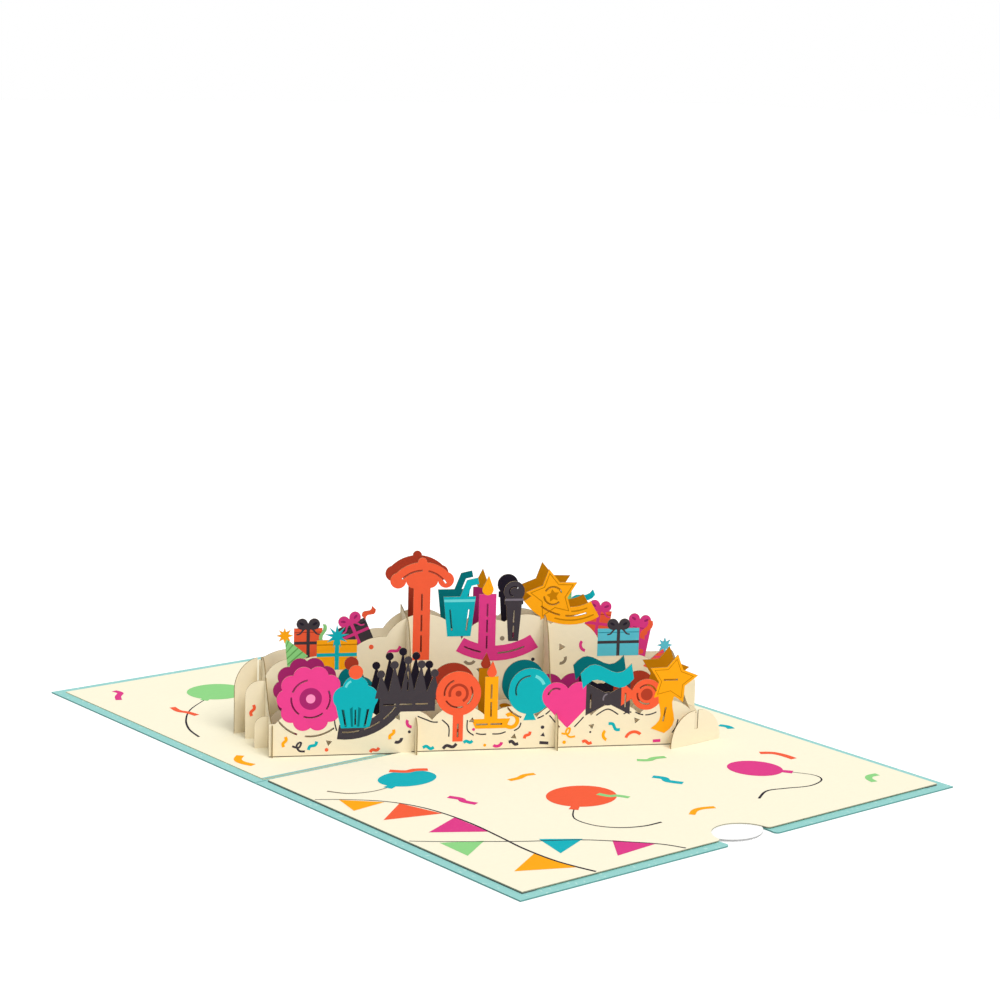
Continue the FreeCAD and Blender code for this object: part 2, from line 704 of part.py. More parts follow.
def new_body(label):
    body = doc.addObject("PartDesign::Body", label)
    body.Label = label
    parts.append(body)
    return body


HALF_DEPTH = "Sizes.card_depth / 2"
LINER_Y = "Sizes.card_depth / 2 - Sizes.liner_margin"
LINER_OUT = "Sizes.panel_width - Sizes.liner_margin"
LINER_IN = "Sizes.spine_gap / 2"
NOTCH_X = "Sizes.panel_width - Sizes.notch_inset"


def cut_notch(body, level, thickness, edge_x):
    """Round thumb cut at the outer edge, its two mouth corners eased."""
    sketch = new_sketch(body, body.Label + "_notch", level)
    add_circle(sketch, NOTCH_X, "Sizes.notch_radius")
    notch = pocket(body, sketch, thickness)
    mouths = []
    for i, edge in enumerate(notch.Shape.Edges, start=1):
        start, end = edge.Vertexes[0].Point, edge.Vertexes[-1].Point
        upright_edge = abs(start.x - end.x) < 1e-6 and abs(start.y - end.y) < 1e-6
        if upright_edge and abs(start.x - edge_x) < 1e-6 and abs(start.y) < size("notch_radius") + 1:
            mouths.append(f"Edge{i}")
    ease = body.newObject("PartDesign::Fillet", body.Label + "_mouth")
    ease.Base = (notch, mouths)
    ease.setExpression("Radius", "Sizes.mouth_radius")
    doc.recompute()


def make_cover():
    body = new_body("cover")
    sketch = new_sketch(body, "cover_outline", "0")
    add_rectangle(sketch, (-1, "Sizes.panel_width"), (1, "Sizes.panel_width"),
                  (-1, HALF_DEPTH), (1, HALF_DEPTH))
    pad(body, sketch, "Sizes.cover_sheet")
    crease = new_sketch(body, "cover_crease", COVER_TOP)
    add_rectangle(crease, (-1, "Sizes.crease_width / 2"), (1, "Sizes.crease_width / 2"),
                  (-1, HALF_DEPTH), (1, HALF_DEPTH))
    pocket(body, crease, "Sizes.crease_depth")
    cut_notch(body, COVER_TOP, "Sizes.cover_sheet", size("panel_width"))


def make_slit(body, place, level):
    """Slit in a liner for an anchor's foot."""
    sketch = new_sketch(body, body.Label + "_slit", level)
    half_foot = size("foot_length") / 2 + size("slot_play")
    corners = [V(place.x - slot / 2, place.y - half_foot, 0), V(place.x + slot / 2, place.y - half_foot, 0),
               V(place.x + slot / 2, place.y + half_foot, 0), V(place.x - slot / 2, place.y + half_foot, 0)]
    for i in range(4):
        sketch.addGeometry(Part.LineSegment(corners[i], corners[(i + 1) % 4]), False)
    pocket(body, sketch, "Sizes.liner_sheet")


def make_liner_left():
    body = new_body("left_liner")
    sketch = new_sketch(body, "left_liner_outline", COVER_TOP)
    add_rectangle(sketch, (-1, LINER_OUT), (-1, LINER_IN), (-1, LINER_Y), (1, LINER_Y))
    pad(body, sketch, "Sizes.liner_sheet")
    make_slit(body, left_anchor, LEFT_TOP)


def make_liner_right():
    body = new_body("right_liner")
    sketch = new_sketch(body, "right_liner_outline", POCKET_TOP)
    add_rectangle(sketch, (1, LINER_IN), (1, LINER_OUT), (-1, LINER_Y), (1, LINER_Y))
    pad(body, sketch, "Sizes.liner_sheet")
    top = POCKET_TOP + " + Sizes.liner_sheet"
    make_slit(body, right_anchor, top)
    cut_notch(body, top, "Sizes.liner_sheet", size("panel_width") - size("liner_margin"))


def make_tapes():
    """Three sticky strips that hold the right liner up and leave the pocket open outwards."""
    inside_y = LINER_Y + " - Sizes.tape_width"
    inside_x = LINER_IN + " + Sizes.tape_width"
    strips = {
        "near_pocket_tape": ((1, LINER_IN), (1, LINER_OUT), (-1, LINER_Y), (-1, inside_y)),
        "far_pocket_tape": ((1, LINER_IN), (1, LINER_OUT), (1, inside_y), (1, LINER_Y)),
        "spine_pocket_tape": ((1, LINER_IN), (1, inside_x), (-1, inside_y), (1, inside_y)),
    }
    for label, sides in strips.items():
        body = new_body(label)
        sketch = new_sketch(body, label + "_outline", COVER_TOP)
        add_rectangle(sketch, *sides)
        pad(body, sketch, "Sizes.tape_sheet")


def make_note():
    body = new_body("note_card")
    note_y = LINER_Y + " - Sizes.tape_width - Sizes.note_clearance"
    sketch = new_sketch(body, "note_outline", COVER_TOP)
    add_rectangle(sketch, (1, LINER_IN + " + Sizes.tape_width + Sizes.note_clearance"),
                  (1, "Sizes.panel_width - Sizes.note_inset"), (-1, note_y), (1, note_y))
    pad(body, sketch, "Sizes.note_sheet")
    tab = new_sketch(body, "note_tab", COVER_TOP)
    add_circle(tab, "Sizes.panel_width - Sizes.tab_inset - Sizes.tab_radius", "Sizes.tab_radius")
    pad(body, tab, "Sizes.note_sheet")


make_cover()
make_liner_left()
make_liner_right()
make_tapes()
make_note()
doc.recompute()

# Check and export

for item in doc.Objects:
    if "Invalid" in item.State or "Error" in item.State:
        raise RuntimeError(f"{item.Label} did not compute: {item.State}")
for part in parts:
    if part.Shape.isNull() or not part.Shape.isValid() or len(part.Shape.Solids) != 1:
        raise RuntimeError(f"{part.Label} is not one sound solid")

os.makedirs("parts", exist_ok=True)
for part in parts:
    part.Shape.exportStep(f"parts/{part.Label}.step")
    print(part.Label, round(part.Shape.Volume, 2), "mm3")
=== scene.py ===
"""Looks of an open pop-up party card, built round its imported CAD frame.

The CAD nodes keep their shape and get paper materials. What is printed on them is made
here: flat fields of colour, laid a hair in front of each sheet and cut to its own slits.
Lengths in the tables are millimetres on the sheet, and turn to metres when placed.
"""
import math

import bmesh
import bpy
from mathutils import Matrix, Vector
from mathutils.geometry import delaunay_2d_cdt


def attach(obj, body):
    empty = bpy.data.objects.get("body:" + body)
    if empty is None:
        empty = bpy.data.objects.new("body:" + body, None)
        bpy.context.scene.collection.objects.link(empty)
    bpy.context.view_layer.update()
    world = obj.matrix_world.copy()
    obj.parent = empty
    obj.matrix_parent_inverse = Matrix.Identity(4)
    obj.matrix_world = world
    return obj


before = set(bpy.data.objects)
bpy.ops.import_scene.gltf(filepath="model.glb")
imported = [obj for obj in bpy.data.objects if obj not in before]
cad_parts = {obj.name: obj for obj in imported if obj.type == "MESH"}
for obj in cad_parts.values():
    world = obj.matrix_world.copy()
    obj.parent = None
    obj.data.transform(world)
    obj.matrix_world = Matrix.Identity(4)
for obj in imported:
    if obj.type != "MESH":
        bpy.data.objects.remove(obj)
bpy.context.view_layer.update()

MM = 0.001
LIFT = 0.04  # of each print off its sheet

# Sizes that the sheets share with the CAD frame: thickness of a slat and width of its slots,
# turn of the long slats from the spine, length of a bay between cross slats, reach of a long
# slat to its anchor, and the lattice's shift along the spine

SHEET = 0.35
SLOT = 0.5
LEAN = math.radians(28.5)
BAY = 46.2
LAP = 1.1
SHIFT = -1.6

# Tops of the two liners, plain heights of the four long slats, base of the upper row of
# motifs, and width of a slit

LEFT_TOP, RIGHT_TOP = 0.7, 1.05
FRONT, SECOND, THIRD, BACK = 11.0, 10.5, 19.5, 24.5
UPPER = THIRD - 0.5
SLIT = 0.45

# Length and depth of the lattice, its directions along and across the long slats, and the
# foot of the front slat's left end

SPAN = 3 * BAY
DEPTH = (SPAN + 2 * LAP) * (1 - math.cos(LEAN)) / (1 - math.sin(LEAN))
GAP = DEPTH / 3
ALONG = Vector((math.sin(LEAN), math.cos(LEAN), 0))
ACROSS = Vector((-math.cos(LEAN), math.sin(LEAN), 0))
CORNER = Vector((0, SHIFT, 0)) - ALONG * (SPAN / 2) - ACROSS * (DEPTH / 2)

# Inks: bright, dark and pale tone of each, as sRGB

INKS = {
    "pink": ("ec4390", "a8286d", "ff93c3"),
    "magenta": ("dd3d88", "a3276b", "f283b6"),
    "teal": ("0fb0bb", "02777f", "6fd9dc"),
    "sky": ("5cc3d6", "2f8ea3", "9fdfe9"),
    "orange": ("f3603d", "b03e29", "ff9d80"),
    "yellow": ("ffa915", "c37d02", "ffd27a"),
    "charcoal": ("433d43", "221d2a", "7d7580"),
    "green": ("8fd486", "5fa557", "c2ecb9"),
    "brown": ("8d7f6a", "6b5f4e", "b5a892"),
    "mist": ("8ac8c4", "5f9f9b", "b9e2de"),
}
TONES = ("bright", "dark", "pale")


def linear(code):
    """Linear colour of an sRGB hex code."""
    channels = [int(code[i:i + 2], 16) / 255 for i in (0, 2, 4)]
    return [c / 12.92 if c <= 0.04045 else ((c + 0.055) / 1.055) ** 2.4 for c in channels]


def scaled(colour, factor):
    """Colour with its channels made brighter or darker, and an alpha of one."""
    return [min(1.0, c * factor) for c in colour] + [1.0]


# Paper materials

UP, SIDEWAYS = (0.0, 0.0, 1.0), (1.0, 0.0, 0.0)
MOTTLE_SCALE, STRAND_SCALE, GRAIN_SCALE, FLECK_SCALE = 45, 900, 2600, 700
STRAND_STRETCH = (1.0, 0.35, 1.0)
GRAIN_HEIGHT, STRAND_HEIGHT = 0.00002, 0.00003
MIX_LOW, MIX_HIGH, MIX_COLOUR = 6, 7, 2  # sockets of a Mix node when it mixes colours


class Graph:
    """Short way to add and join the nodes of one material."""

    def __init__(self, name):
        self.material = bpy.data.materials.new(name)
        self.material.use_nodes = True
        self.nodes = self.material.node_tree.nodes
        self.links = self.material.node_tree.links
        self.shader = self.nodes["Principled BSDF"]
        self.where = self.nodes.new("ShaderNodeTexCoord").outputs["Object"]

    def noise(self, scale, detail, rough=0.5, stretch=None):
        node = self.nodes.new("ShaderNodeTexNoise")
        node.inputs["Scale"].default_value = scale
        node.inputs["Detail"].default_value = detail
        node.inputs["Roughness"].default_value = rough
        source = self.where
        if stretch:
            mapping = self.nodes.new("ShaderNodeMapping")
            mapping.inputs["Scale"].default_value = stretch
            self.links.new(source, mapping.inputs["Vector"])
            source = mapping.outputs["Vector"]
        self.links.new(source, node.inputs["Vector"])
        return node.outputs["Fac"]

    def ramp(self, value, low, high):
        node = self.nodes.new("ShaderNodeMapRange")
        node.inputs["From Min"].default_value = low
        node.inputs["From Max"].default_value = high
        self.links.new(value, node.inputs["Value"])
        return node.outputs["Result"]

    def mix(self, factor, low, high):
        node = self.nodes.new("ShaderNodeMix")
        node.data_type = "RGBA"
        self.links.new(factor, node.inputs[0])
        for socket, value in ((node.inputs[MIX_LOW], low), (node.inputs[MIX_HIGH], high)):
            if isinstance(value, list):
                socket.default_value = value
            else:
                self.links.new(value, socket)
        return node.outputs[MIX_COLOUR]

    def bump(self, heights, distance, strength):
        normal = None
        for height, far in zip(heights, distance):
            node = self.nodes.new("ShaderNodeBump")
            node.inputs["Strength"].default_value = strength
            node.inputs["Distance"].default_value = far
            self.links.new(height, node.inputs["Height"])
            if normal:
                self.links.new(normal, node.inputs["Normal"])
            normal = node.outputs["Normal"]
        self.links.new(normal, self.shader.inputs["Normal"])


def paper(name, code, mottle, fibre, rough=0.78, gloss=0.1, fleck=None, edge_shade=None, facing=UP):
    """Paper or card: slow mottling, fine drawn-out fibres, and a soft grain.

    fleck adds pearly specks of that colour. edge_shade is a darker colour for the cut edges of a sheet
    whose faces look along facing: painted shade, which on the slats lies over laser scorch."""
    graph = Graph(name)
    colour = linear(code)
    slow = graph.noise(MOTTLE_SCALE, 3.0)
    base = graph.mix(slow, scaled(colour, 1 - mottle), scaled(colour, 1 + mottle))
    strands = graph.noise(STRAND_SCALE, 4.0, 0.6, STRAND_STRETCH)
    base = graph.mix(graph.ramp(strands, 0.35, 0.75), base, scaled(colour, 1 - fibre))
    grain = graph.noise(GRAIN_SCALE, 3.0, 0.6)
    if fleck:
        specks = graph.ramp(graph.noise(FLECK_SCALE, 1.0), 0.63, 0.70)
        base = graph.mix(specks, base, linear(fleck) + [1.0])
    # Cut edges take the darker edge colour: painted shade
    if edge_shade:
        geometry = graph.nodes.new("ShaderNodeNewGeometry")
        dot = graph.nodes.new("ShaderNodeVectorMath")
        dot.operation = "DOT_PRODUCT"
        dot.inputs[1].default_value = facing
        graph.links.new(geometry.outputs["Normal"], dot.inputs[0])
        facing_share = graph.nodes.new("ShaderNodeMath")
        facing_share.operation = "ABSOLUTE"
        graph.links.new(dot.outputs["Value"], facing_share.inputs[0])
        base = graph.mix(graph.ramp(facing_share.outputs[0], 0.3, 0.7), linear(edge_shade) + [1.0], base)
    graph.links.new(base, graph.shader.inputs["Base Color"])
    graph.shader.inputs["Roughness"].default_value = rough
    graph.shader.inputs["Specular IOR Level"].default_value = gloss
    graph.bump([grain, strands], [GRAIN_HEIGHT, STRAND_HEIGHT], 0.5)
    return graph.material


INK_MATERIALS = {}
for ink, codes in INKS.items():
    for tone, code in zip(TONES, codes):
        INK_MATERIALS[ink, tone] = paper(f"ink_{ink}_{tone}", code, 0.025, 0.035, 0.7, 0.06)

IVORY = "f9f3d9"
# WALL is the liners' ivory made darker for the upright slats and anchors: painted shade
WALL = "f2e6c9"
# Brown of the slats' cut edges: laser scorch, made darker as painted shade
SCORCHED_AND_SHADED_EDGE = "8f7a54"
# The cover's cut edges are a darker teal: painted shade
cover_card = paper("cover_card", "97d1cc", 0.02, 0.04, 0.7, 0.12, fleck="b2ded7", edge_shade="5f9b97")
# The liners' cut edges are darker: painted shade, deeper on the raised right liner over its pocket gap
left_liner_paper = paper("left_liner_paper", IVORY, 0.012, 0.02, edge_shade="cbc4a4")
right_liner_paper = paper("right_liner_paper", IVORY, 0.012, 0.02, edge_shade="a8a48e")
long_slat_paper = paper("long_slat_paper", WALL, 0.012, 0.025, edge_shade=SCORCHED_AND_SHADED_EDGE, facing=tuple(ACROSS))
cross_slat_paper = paper("cross_slat_paper", WALL, 0.012, 0.025, edge_shade=SCORCHED_AND_SHADED_EDGE, facing=tuple(ALONG))
anchor_paper = paper("anchor_paper", WALL, 0.012, 0.025, edge_shade=SCORCHED_AND_SHADED_EDGE, facing=SIDEWAYS)
# The note's cut edges are grey: painted shade that outlines the white tab
note_paper = paper("note_paper", "fbfbfa", 0.008, 0.012, edge_shade="adadac")
# The pocket tape is dark grey all through: painted shade in the gap under the right liner
pocket_tape_shade = paper("pocket_tape_shade", "55605d", 0.03, 0.05, 0.5)

FINISHES = [
    (cover_card, ["cover"]),
    (left_liner_paper, ["left_liner"]),
    (right_liner_paper, ["right_liner"]),
    (note_paper, ["note_card"]),
    (long_slat_paper, ["front_slat", "second_slat", "third_slat", "back_slat"]),
    (cross_slat_paper, ["left_cross_slat", "left_middle_cross_slat", "right_middle_cross_slat",
                        "right_cross_slat"]),
    (anchor_paper, ["left_anchor", "right_anchor"]),
    (pocket_tape_shade, ["near_pocket_tape", "far_pocket_tape", "spine_pocket_tape"]),
]
for finish, nodes in FINISHES:
    for node in nodes:
        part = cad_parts[node]
        part.data.materials.clear()
        part.data.materials.append(finish)


# Flat outlines as lists of points

def polar(x, z, radius, degrees):
    angle = math.radians(degrees)
    return (x + radius * math.cos(angle), z + radius * math.sin(angle))


def disc(x, z, radius):
    """Round outline, with more corners the larger it is."""
    count = max(16, min(56, int(18 * math.sqrt(radius))))
    return [polar(x, z, radius, 360 * i / count) for i in range(count)]


def oval(x, z, wide, high, tilt):
    """Ellipse of two half widths, turned by a tilt in degrees."""
    cos, sin = math.cos(math.radians(tilt)), math.sin(math.radians(tilt))
    rim = [polar(0, 0, 1, 10 * i) for i in range(36)]
    return [(x + a * wide * cos - b * high * sin, z + a * wide * sin + b * high * cos) for a, b in rim]


def block(x0, z0, x1, z1):
    return [(x0, z0), (x1, z0), (x1, z1), (x0, z1)]


def bar(x0, z0, x1, z1, width):
    """Straight stroke from one point to another."""
    length = math.hypot(x1 - x0, z1 - z0)
    dx = (z1 - z0) / length * width / 2
    dz = -(x1 - x0) / length * width / 2
    return [(x0 - dx, z0 - dz), (x1 - dx, z1 - dz), (x1 + dx, z1 + dz), (x0 + dx, z0 + dz)]


def band(x, z, radius, width, start, end):
    """Stroke of an arc, from a start to an end in degrees."""
    steps = max(3, int((end - start) / 6))
    angles = [start + (end - start) * i / steps for i in range(steps + 1)]
    outer = [polar(x, z, radius + width / 2, a) for a in angles]
    inner = [polar(x, z, radius - width / 2, a) for a in reversed(angles)]
    return outer + inner


def star(x, z, outer, inner, points, first=90.0):
    step = 180.0 / points
    return [polar(x, z, inner if i % 2 else outer, first + step * i) for i in range(2 * points)]


def wave(x0, z0, x1, z1, width, swing, turns=1.0, steps=10):
    """Ribbon that waves about a straight line from one point to another."""
    length = math.hypot(x1 - x0, z1 - z0)
    ux, uz = (x1 - x0) / length, (z1 - z0) / length
    upper, lower = [], []
    for i in range(steps + 1):
        f = i / steps
        lift = swing * math.sin(2 * math.pi * turns * f)
        for side, sign in ((upper, 0.5), (lower, -0.5)):
            off = lift + sign * width
            side.append((x0 + ux * length * f - uz * off, z0 + uz * length * f + ux * off))
    return upper + lower[::-1]


SMOOTH_STEPS = 6


def smooth(points):
    """Points of a Catmull-Rom curve through the given ones."""
    ends = [points[0]] + list(points) + [points[-1]]
    curve = []
    for p0, p1, p2, p3 in zip(ends, ends[1:], ends[2:], ends[3:]):
        for i in range(SMOOTH_STEPS):
            t = i / SMOOTH_STEPS
            curve.append(tuple(
                0.5 * (2 * b + (c - a) * t + (2 * a - 5 * b + 4 * c - d) * t ** 2
                       + (3 * b - a - 3 * c + d) * t ** 3)
                for a, b, c, d in zip(p0, p1, p2, p3)))
    return curve + [tuple(points[-1])]


def ribbon(points, width, last=None):
    """Stroke of a smooth line through points, of one width or changing evenly to a last one."""
    curve = smooth(points)
    sides = ([], [])
    for i, (x, z) in enumerate(curve):
        before, after = curve[max(i - 1, 0)], curve[min(i + 1, len(curve) - 1)]
        dx, dz = after[0] - before[0], after[1] - before[1]
        length = math.hypot(dx, dz)
        half = (width + ((last or width) - width) * i / (len(curve) - 1)) / 2
        for side, sign in zip(sides, (1, -1)):
            side.append((x - sign * dz / length * half, z + sign * dx / length * half))
    return sides[0] + sides[1][::-1]


def wound(points):
    """Points in anticlockwise order."""
    area = sum(x0 * z1 - x1 * z0 for (x0, z0), (x1, z1) in zip(points, points[1:] + points[:1]))
    return points if area > 0 else points[::-1]


def grown(points, rim):
    """Outline moved outwards by a rim."""
    ring = wound(points)
    moved = []
    for (x0, z0), (x1, z1), (x2, z2) in zip(ring[-1:] + ring[:-1], ring, ring[1:] + ring[:1]):
        before = Vector((z1 - z0, x0 - x1)).normalized()
        after = Vector((z2 - z1, x1 - x2)).normalized()
        out = (before + after).normalized()
        reach = rim / max(0.5, out.dot(after))
        moved.append((x1 + out.x * reach, z1 + out.y * reach))
    return moved


def turned(shapes, x, z, tilt):
    """Shapes turned about a point by a tilt in degrees."""
    cos, sin = math.cos(math.radians(tilt)), math.sin(math.radians(tilt))
    moved = []
    for ink, points in shapes:
        outline = [(x + (a - x) * cos - (b - z) * sin, z + (a - x) * sin + (b - z) * cos)
                   for a, b in points]
        moved.append((ink, outline))
    return moved


# Printed motifs: lists of tone or ink, and outline. "own", "deep" and "pale" are tones of
# the ink that the motif is printed in.

def rosette(x, z):
    petals = [("own", disc(*polar(x, z + 11, 7.6, 36 * i), 3.3)) for i in range(10)]
    return petals + [("own", disc(x, z + 11, 8.4)), ("deep", disc(x, z + 11, 3.6)),
                     ("pale", disc(x, z + 11, 1.5))]


def cupcake(x, z):
    shapes = [("own", [(x - 4.6, z), (x + 4.6, z), (x + 6.6, z + 8.5), (x - 6.6, z + 8.5)])]
    for i in (-1.5, -0.5, 0.5, 1.5):
        foot, top = x + i * 2.0, x + i * 2.9
        pleat = [(foot - 0.35, z + 0.4), (foot + 0.35, z + 0.4), (top + 0.5, z + 8), (top - 0.5, z + 8)]
        shapes.append(("deep", pleat))
    for dx, dz, radius in ((-3.4, 10, 3.9), (3.4, 10, 3.9), (0, 13, 4.2)):
        shapes.append(("own", disc(x + dx, z + dz, radius)))
    return shapes + [("orange", disc(x, z + 18.4, 2.3)),
                     ("pale", band(x - 0.6, z + 13, 2.6, 0.7, 110, 170))]


def crown(x, z):
    shapes = [("own", block(x - 9, z, x + 9, z + 5))]
    for i, height in enumerate((12.5, 15.5, 17.0, 15.5, 12.5)):
        middle = x - 8 + 4 * i
        tip = middle + 0.35 * (i - 2)
        shapes.append(("own", [(middle - 2.6, z + 4.5), (middle + 2.6, z + 4.5), (tip, z + height)]))
        shapes.append(("own", disc(tip, z + height, 1.3)))
    return shapes


def lollipop(x, z, height=16.0, radius=7.4, stick=3.4):
    return [("own", block(x - stick / 2, z, x + stick / 2, z + height)),
            ("own", disc(x, z + height, radius)),
            ("deep", band(x, z + height, 2.9, 0.9, -60, 200)), ("deep", disc(x, z + height, 1.0))]


def flame(x, z, width, height, ink):
    r = width / 2
    return [(ink, disc(x, z + r, r)),
            (ink, [(x - 0.9 * r, z + 1.4 * r), (x + 0.9 * r, z + 1.4 * r), (x + 0.15 * r, z + height)])]


def candlestick(x, z, height=14.5, width=4.4):
    shapes = [("own", [(x - 6.4, z + 3.2), (x - 5, z), (x + 5, z), (x + 6.4, z + 3.2)]),
              ("own", block(x - width / 2, z + 2.8, x + width / 2, z + 2.8 + height)),
              ("own", band(x + 6.6, z + 2.4, 2.2, 1.3, -130, 130))]
    return shapes + flame(x, z + 2.6 + height, 3.2, 5.4, "orange")


def balloon(x, z, radius=7.2):
    return [("own", [(x - 2.1, z), (x + 2.1, z), (x + 0.6, z + 3.4), (x - 0.6, z + 3.4)]),
            ("own", disc(x, z + 2 + radius, radius)), ("own", disc(x, z + 3.2 + radius, radius * 0.97)),
            ("pale", band(x, z + 3 + radius, radius * 0.66, 1.0, 20, 70))]


def heart(x, z, lobe=4.6):
    side = 1.62 * lobe
    point = [(x, z), (x + side, z + 1.7 * lobe), (x, z + 2.9 * lobe), (x - side, z + 1.7 * lobe)]
    return [("own", disc(x - 0.86 * lobe, z + 2.35 * lobe, lobe)),
            ("own", disc(x + 0.86 * lobe, z + 2.35 * lobe, lobe)), ("own", point)]


def bow_tie(x, z, reach=7.4, height=11.0):
    shapes = []
    for sign in (-1, 1):
        end = x + sign * reach
        wing = [(x, z + height * 0.36), (end, z), (end, z + height), (x, z + height * 0.64)]
        shapes.append(("own", wing))
    return shapes + [("own", disc(x, z + height / 2, 2.3)),
                     ("pale", band(x, z + height / 2, 1.6, 0.5, 100, 200))]


def sweet(x, z, radius=5.2):
    shapes = []
    for sign in (-1, 1):
        end = x + sign * (radius + 3.4)
        shapes.append(("own", [(x + sign * radius * 0.6, z), (end, z + 4.4), (end, z - 3.6)]))
    return shapes + [("own", disc(x, z, radius)), ("deep", disc(x, z, 2.0))]


def trailing_star(x, z):
    shapes = [("own", wave(x - 4.6, z - 17.2, x + 0.4, z - 4.0, 5.0, -1.7, turns=0.9, steps=8))]
    stars = [("own", 8.6, 4.7), ("deep", 7.2, 3.95), ("own", 6.7, 3.65)]
    return shapes + [(tone, star(x, z, outer, inner, 5, first=80)) for tone, outer, inner in stars]


def parasol(x, z, height=33.0, radius=12.2):
    top = z + height
    half_span = radius * math.sqrt(0.75)
    rim = top - radius / 2
    dome = [polar(x, top - radius, radius, 30 + 5 * i) for i in range(25)]
    shapes = [("own", block(x - 2.8, z, x + 2.8, top - 4)), ("own", dome)]
    for i in range(4):
        shapes.append(("own", disc(x + half_span * (i - 1.5) / 2, rim, half_span / 4)))
    return shapes + [("own", disc(x, top, 1.5))]


def tumbler(x, z):
    return [("own", bar(x + 0.4, z + 11, x + 3.4, z + 18.6, 2.2)),
            ("own", bar(x + 2.9, z + 17.9, x + 6.2, z + 18.6, 2.2)),
            ("own", [(x - 3.9, z), (x + 3.9, z), (x + 5.4, z + 13.4), (x - 5.4, z + 13.4)]),
            ("pale", [(x - 5.1, z + 11.6), (x + 5.1, z + 11.6),
                      (x + 5.2, z + 12.5), (x - 5.2, z + 12.5)])]


def tall_candle(x, z, height=22.5, width=5.8):
    shapes = [("own", band(x + 3.0, z + 26.4, 24.0, 5.2, 240, 303)),
              ("own", block(x - width / 2, z + 2, x + width / 2, z + height))]
    return shapes + flame(x, z + height - 0.4, 3.8, 6.6, "yellow")


def microphone(x, z, height=13.6):
    return [("own", [(x - 1.7, z), (x + 1.7, z), (x + 2.7, z + height), (x - 2.7, z + height)]),
            ("own", disc(x, z + height + 3.2, 3.5)),
            ("pale", block(x - 3.1, z + height - 0.3, x + 3.1, z + height + 0.8)),
            ("own", block(x - 3.1, z + height - 1.2, x + 3.1, z + height + 0.1))]


def comet(x, z):
    tail = [("own", 16.4, 6.0, 215, 300), ("deep", 17.9, 0.5, 252, 296), ("deep", 14.9, 0.5, 256, 292)]
    shapes = [(tone, band(x + 6.2, z + 9.4, *arc)) for tone, *arc in tail]
    stars = [("own", 9.2, 5.0), ("deep", 7.9, 4.3), ("own", 7.3, 3.95), ("deep", 2.3, 1.2)]
    return shapes + [(tone, star(x, z, outer, inner, 5, first=100)) for tone, outer, inner in stars]


BOW_FALL = [(0, 0.4), (1.6, -0.5), (2.7, -1.8), (3.9, -2.1)]


def gift(x, z, width, height, bow, tilt=0.0):
    """Wrapped box about its foot, with the ribbon and bow in another ink."""
    middle = z + height / 2
    shapes = [("own", block(x - width / 2, z, x + width / 2, z + height)),
              ("deep", block(x - width / 2, z + height - 1.5, x + width / 2, z + height - 1.2)),
              (bow, block(x - 0.55, z, x + 0.55, z + height)),
              (bow, block(x - width / 2, middle - 0.5, x + width / 2, middle + 0.5))]
    for dx, dz, radius in ((-2.0, 1.4, 1.9), (2.0, 1.4, 1.9), (0.0, 0.5, 1.2)):
        shapes.append((bow, disc(x + dx, z + height + dz, radius)))
    for side in (-1, 1):
        fall = [(x + side * dx, z + height + dz) for dx, dz in BOW_FALL]
        shapes.append((bow, ribbon(fall, 0.7, 0.45)))
        shapes.append(((bow, "dark"), oval(x + side * 2.2, z + height + 1.5, 0.85, 0.4, side * 28)))
    return turned(shapes, x, z, tilt)


def burst_gift(x, z, width, height, bow):
    """Wrapped box whose bow is a burst of ribbon ends."""
    middle = z + height / 2
    return [("own", block(x - width / 2, z, x + width / 2, z + height)),
            ("deep", block(x - width / 2, z + height - 1.8, x + width / 2, z + height - 1.4)),
            (bow, block(x - 0.7, z, x + 0.7, z + height)),
            (bow, block(x - width / 2, middle - 0.6, x + width / 2, middle + 0.6)),
            (bow, star(x, z + height + 1.2, 4.0, 1.5, 9))]


def edge_point(cone, level, sign):
    """Point at a level on the left (-1) or right (1) side of an upright cone."""
    (x0, z0), (x1, _), (top_x, top_z) = cone
    share = min(1.0, (level - z0) / (top_z - z0))
    foot = x0 if sign < 0 else x1
    return (foot + (top_x - foot) * share, level)


def party_hat(x, z, width, height, tip_ink, stripe, tilt):
    """Leaning cone with slanting stripes and an upright burst at its tip."""
    cone = [(x - width / 2, z), (x + width / 2, z), (x, z + height)]
    shapes = [("own", cone)]
    for i in range(4):
        left = z + height * (0.06 + 0.2 * i)
        right = left + 1.4
        shapes.append((stripe, [edge_point(cone, left, -1), edge_point(cone, right, 1),
                                edge_point(cone, right + 0.4, 1), edge_point(cone, left + 0.4, -1)]))
    tip_x, tip_z = polar(x, z, height, 90 + tilt)
    return turned(shapes, x, z, tilt) + [(tip_ink, star(tip_x, tip_z + 0.6, 2.7, 1.3, 8))]


# What is printed where on the slats: motif, its middle along the slat, its foot above the
# row's base, and its ink

LOW_ROW = [
    (rosette, 12.2, -3.0, "pink"), (cupcake, 26.6, -2.0, "teal"), (crown, 43.4, 3.0, "charcoal"),
    (lollipop, 60.0, -7.5, "orange"), (candlestick, 70.8, -3.4, "yellow"),
    (balloon, 83.6, -1.0, "teal"), (heart, 96.2, -4.0, "pink"), (bow_tie, 109.6, 0.0, "charcoal"),
    (sweet, 122.6, 6.6, "orange"), (trailing_star, 131.2, 11.4, "yellow"),
]
HIGH_ROW = [
    (parasol, 51.0, 6.2, "orange"), (tumbler, 63.6, 14.0, "teal"), (tall_candle, 73.0, 5.6, "magenta"),
    (microphone, 81.9, 12.0, "charcoal"), (comet, 95.0, 27.2, "yellow"),
]


OWN_TONES = {"own": "bright", "deep": "dark", "pale": "pale"}


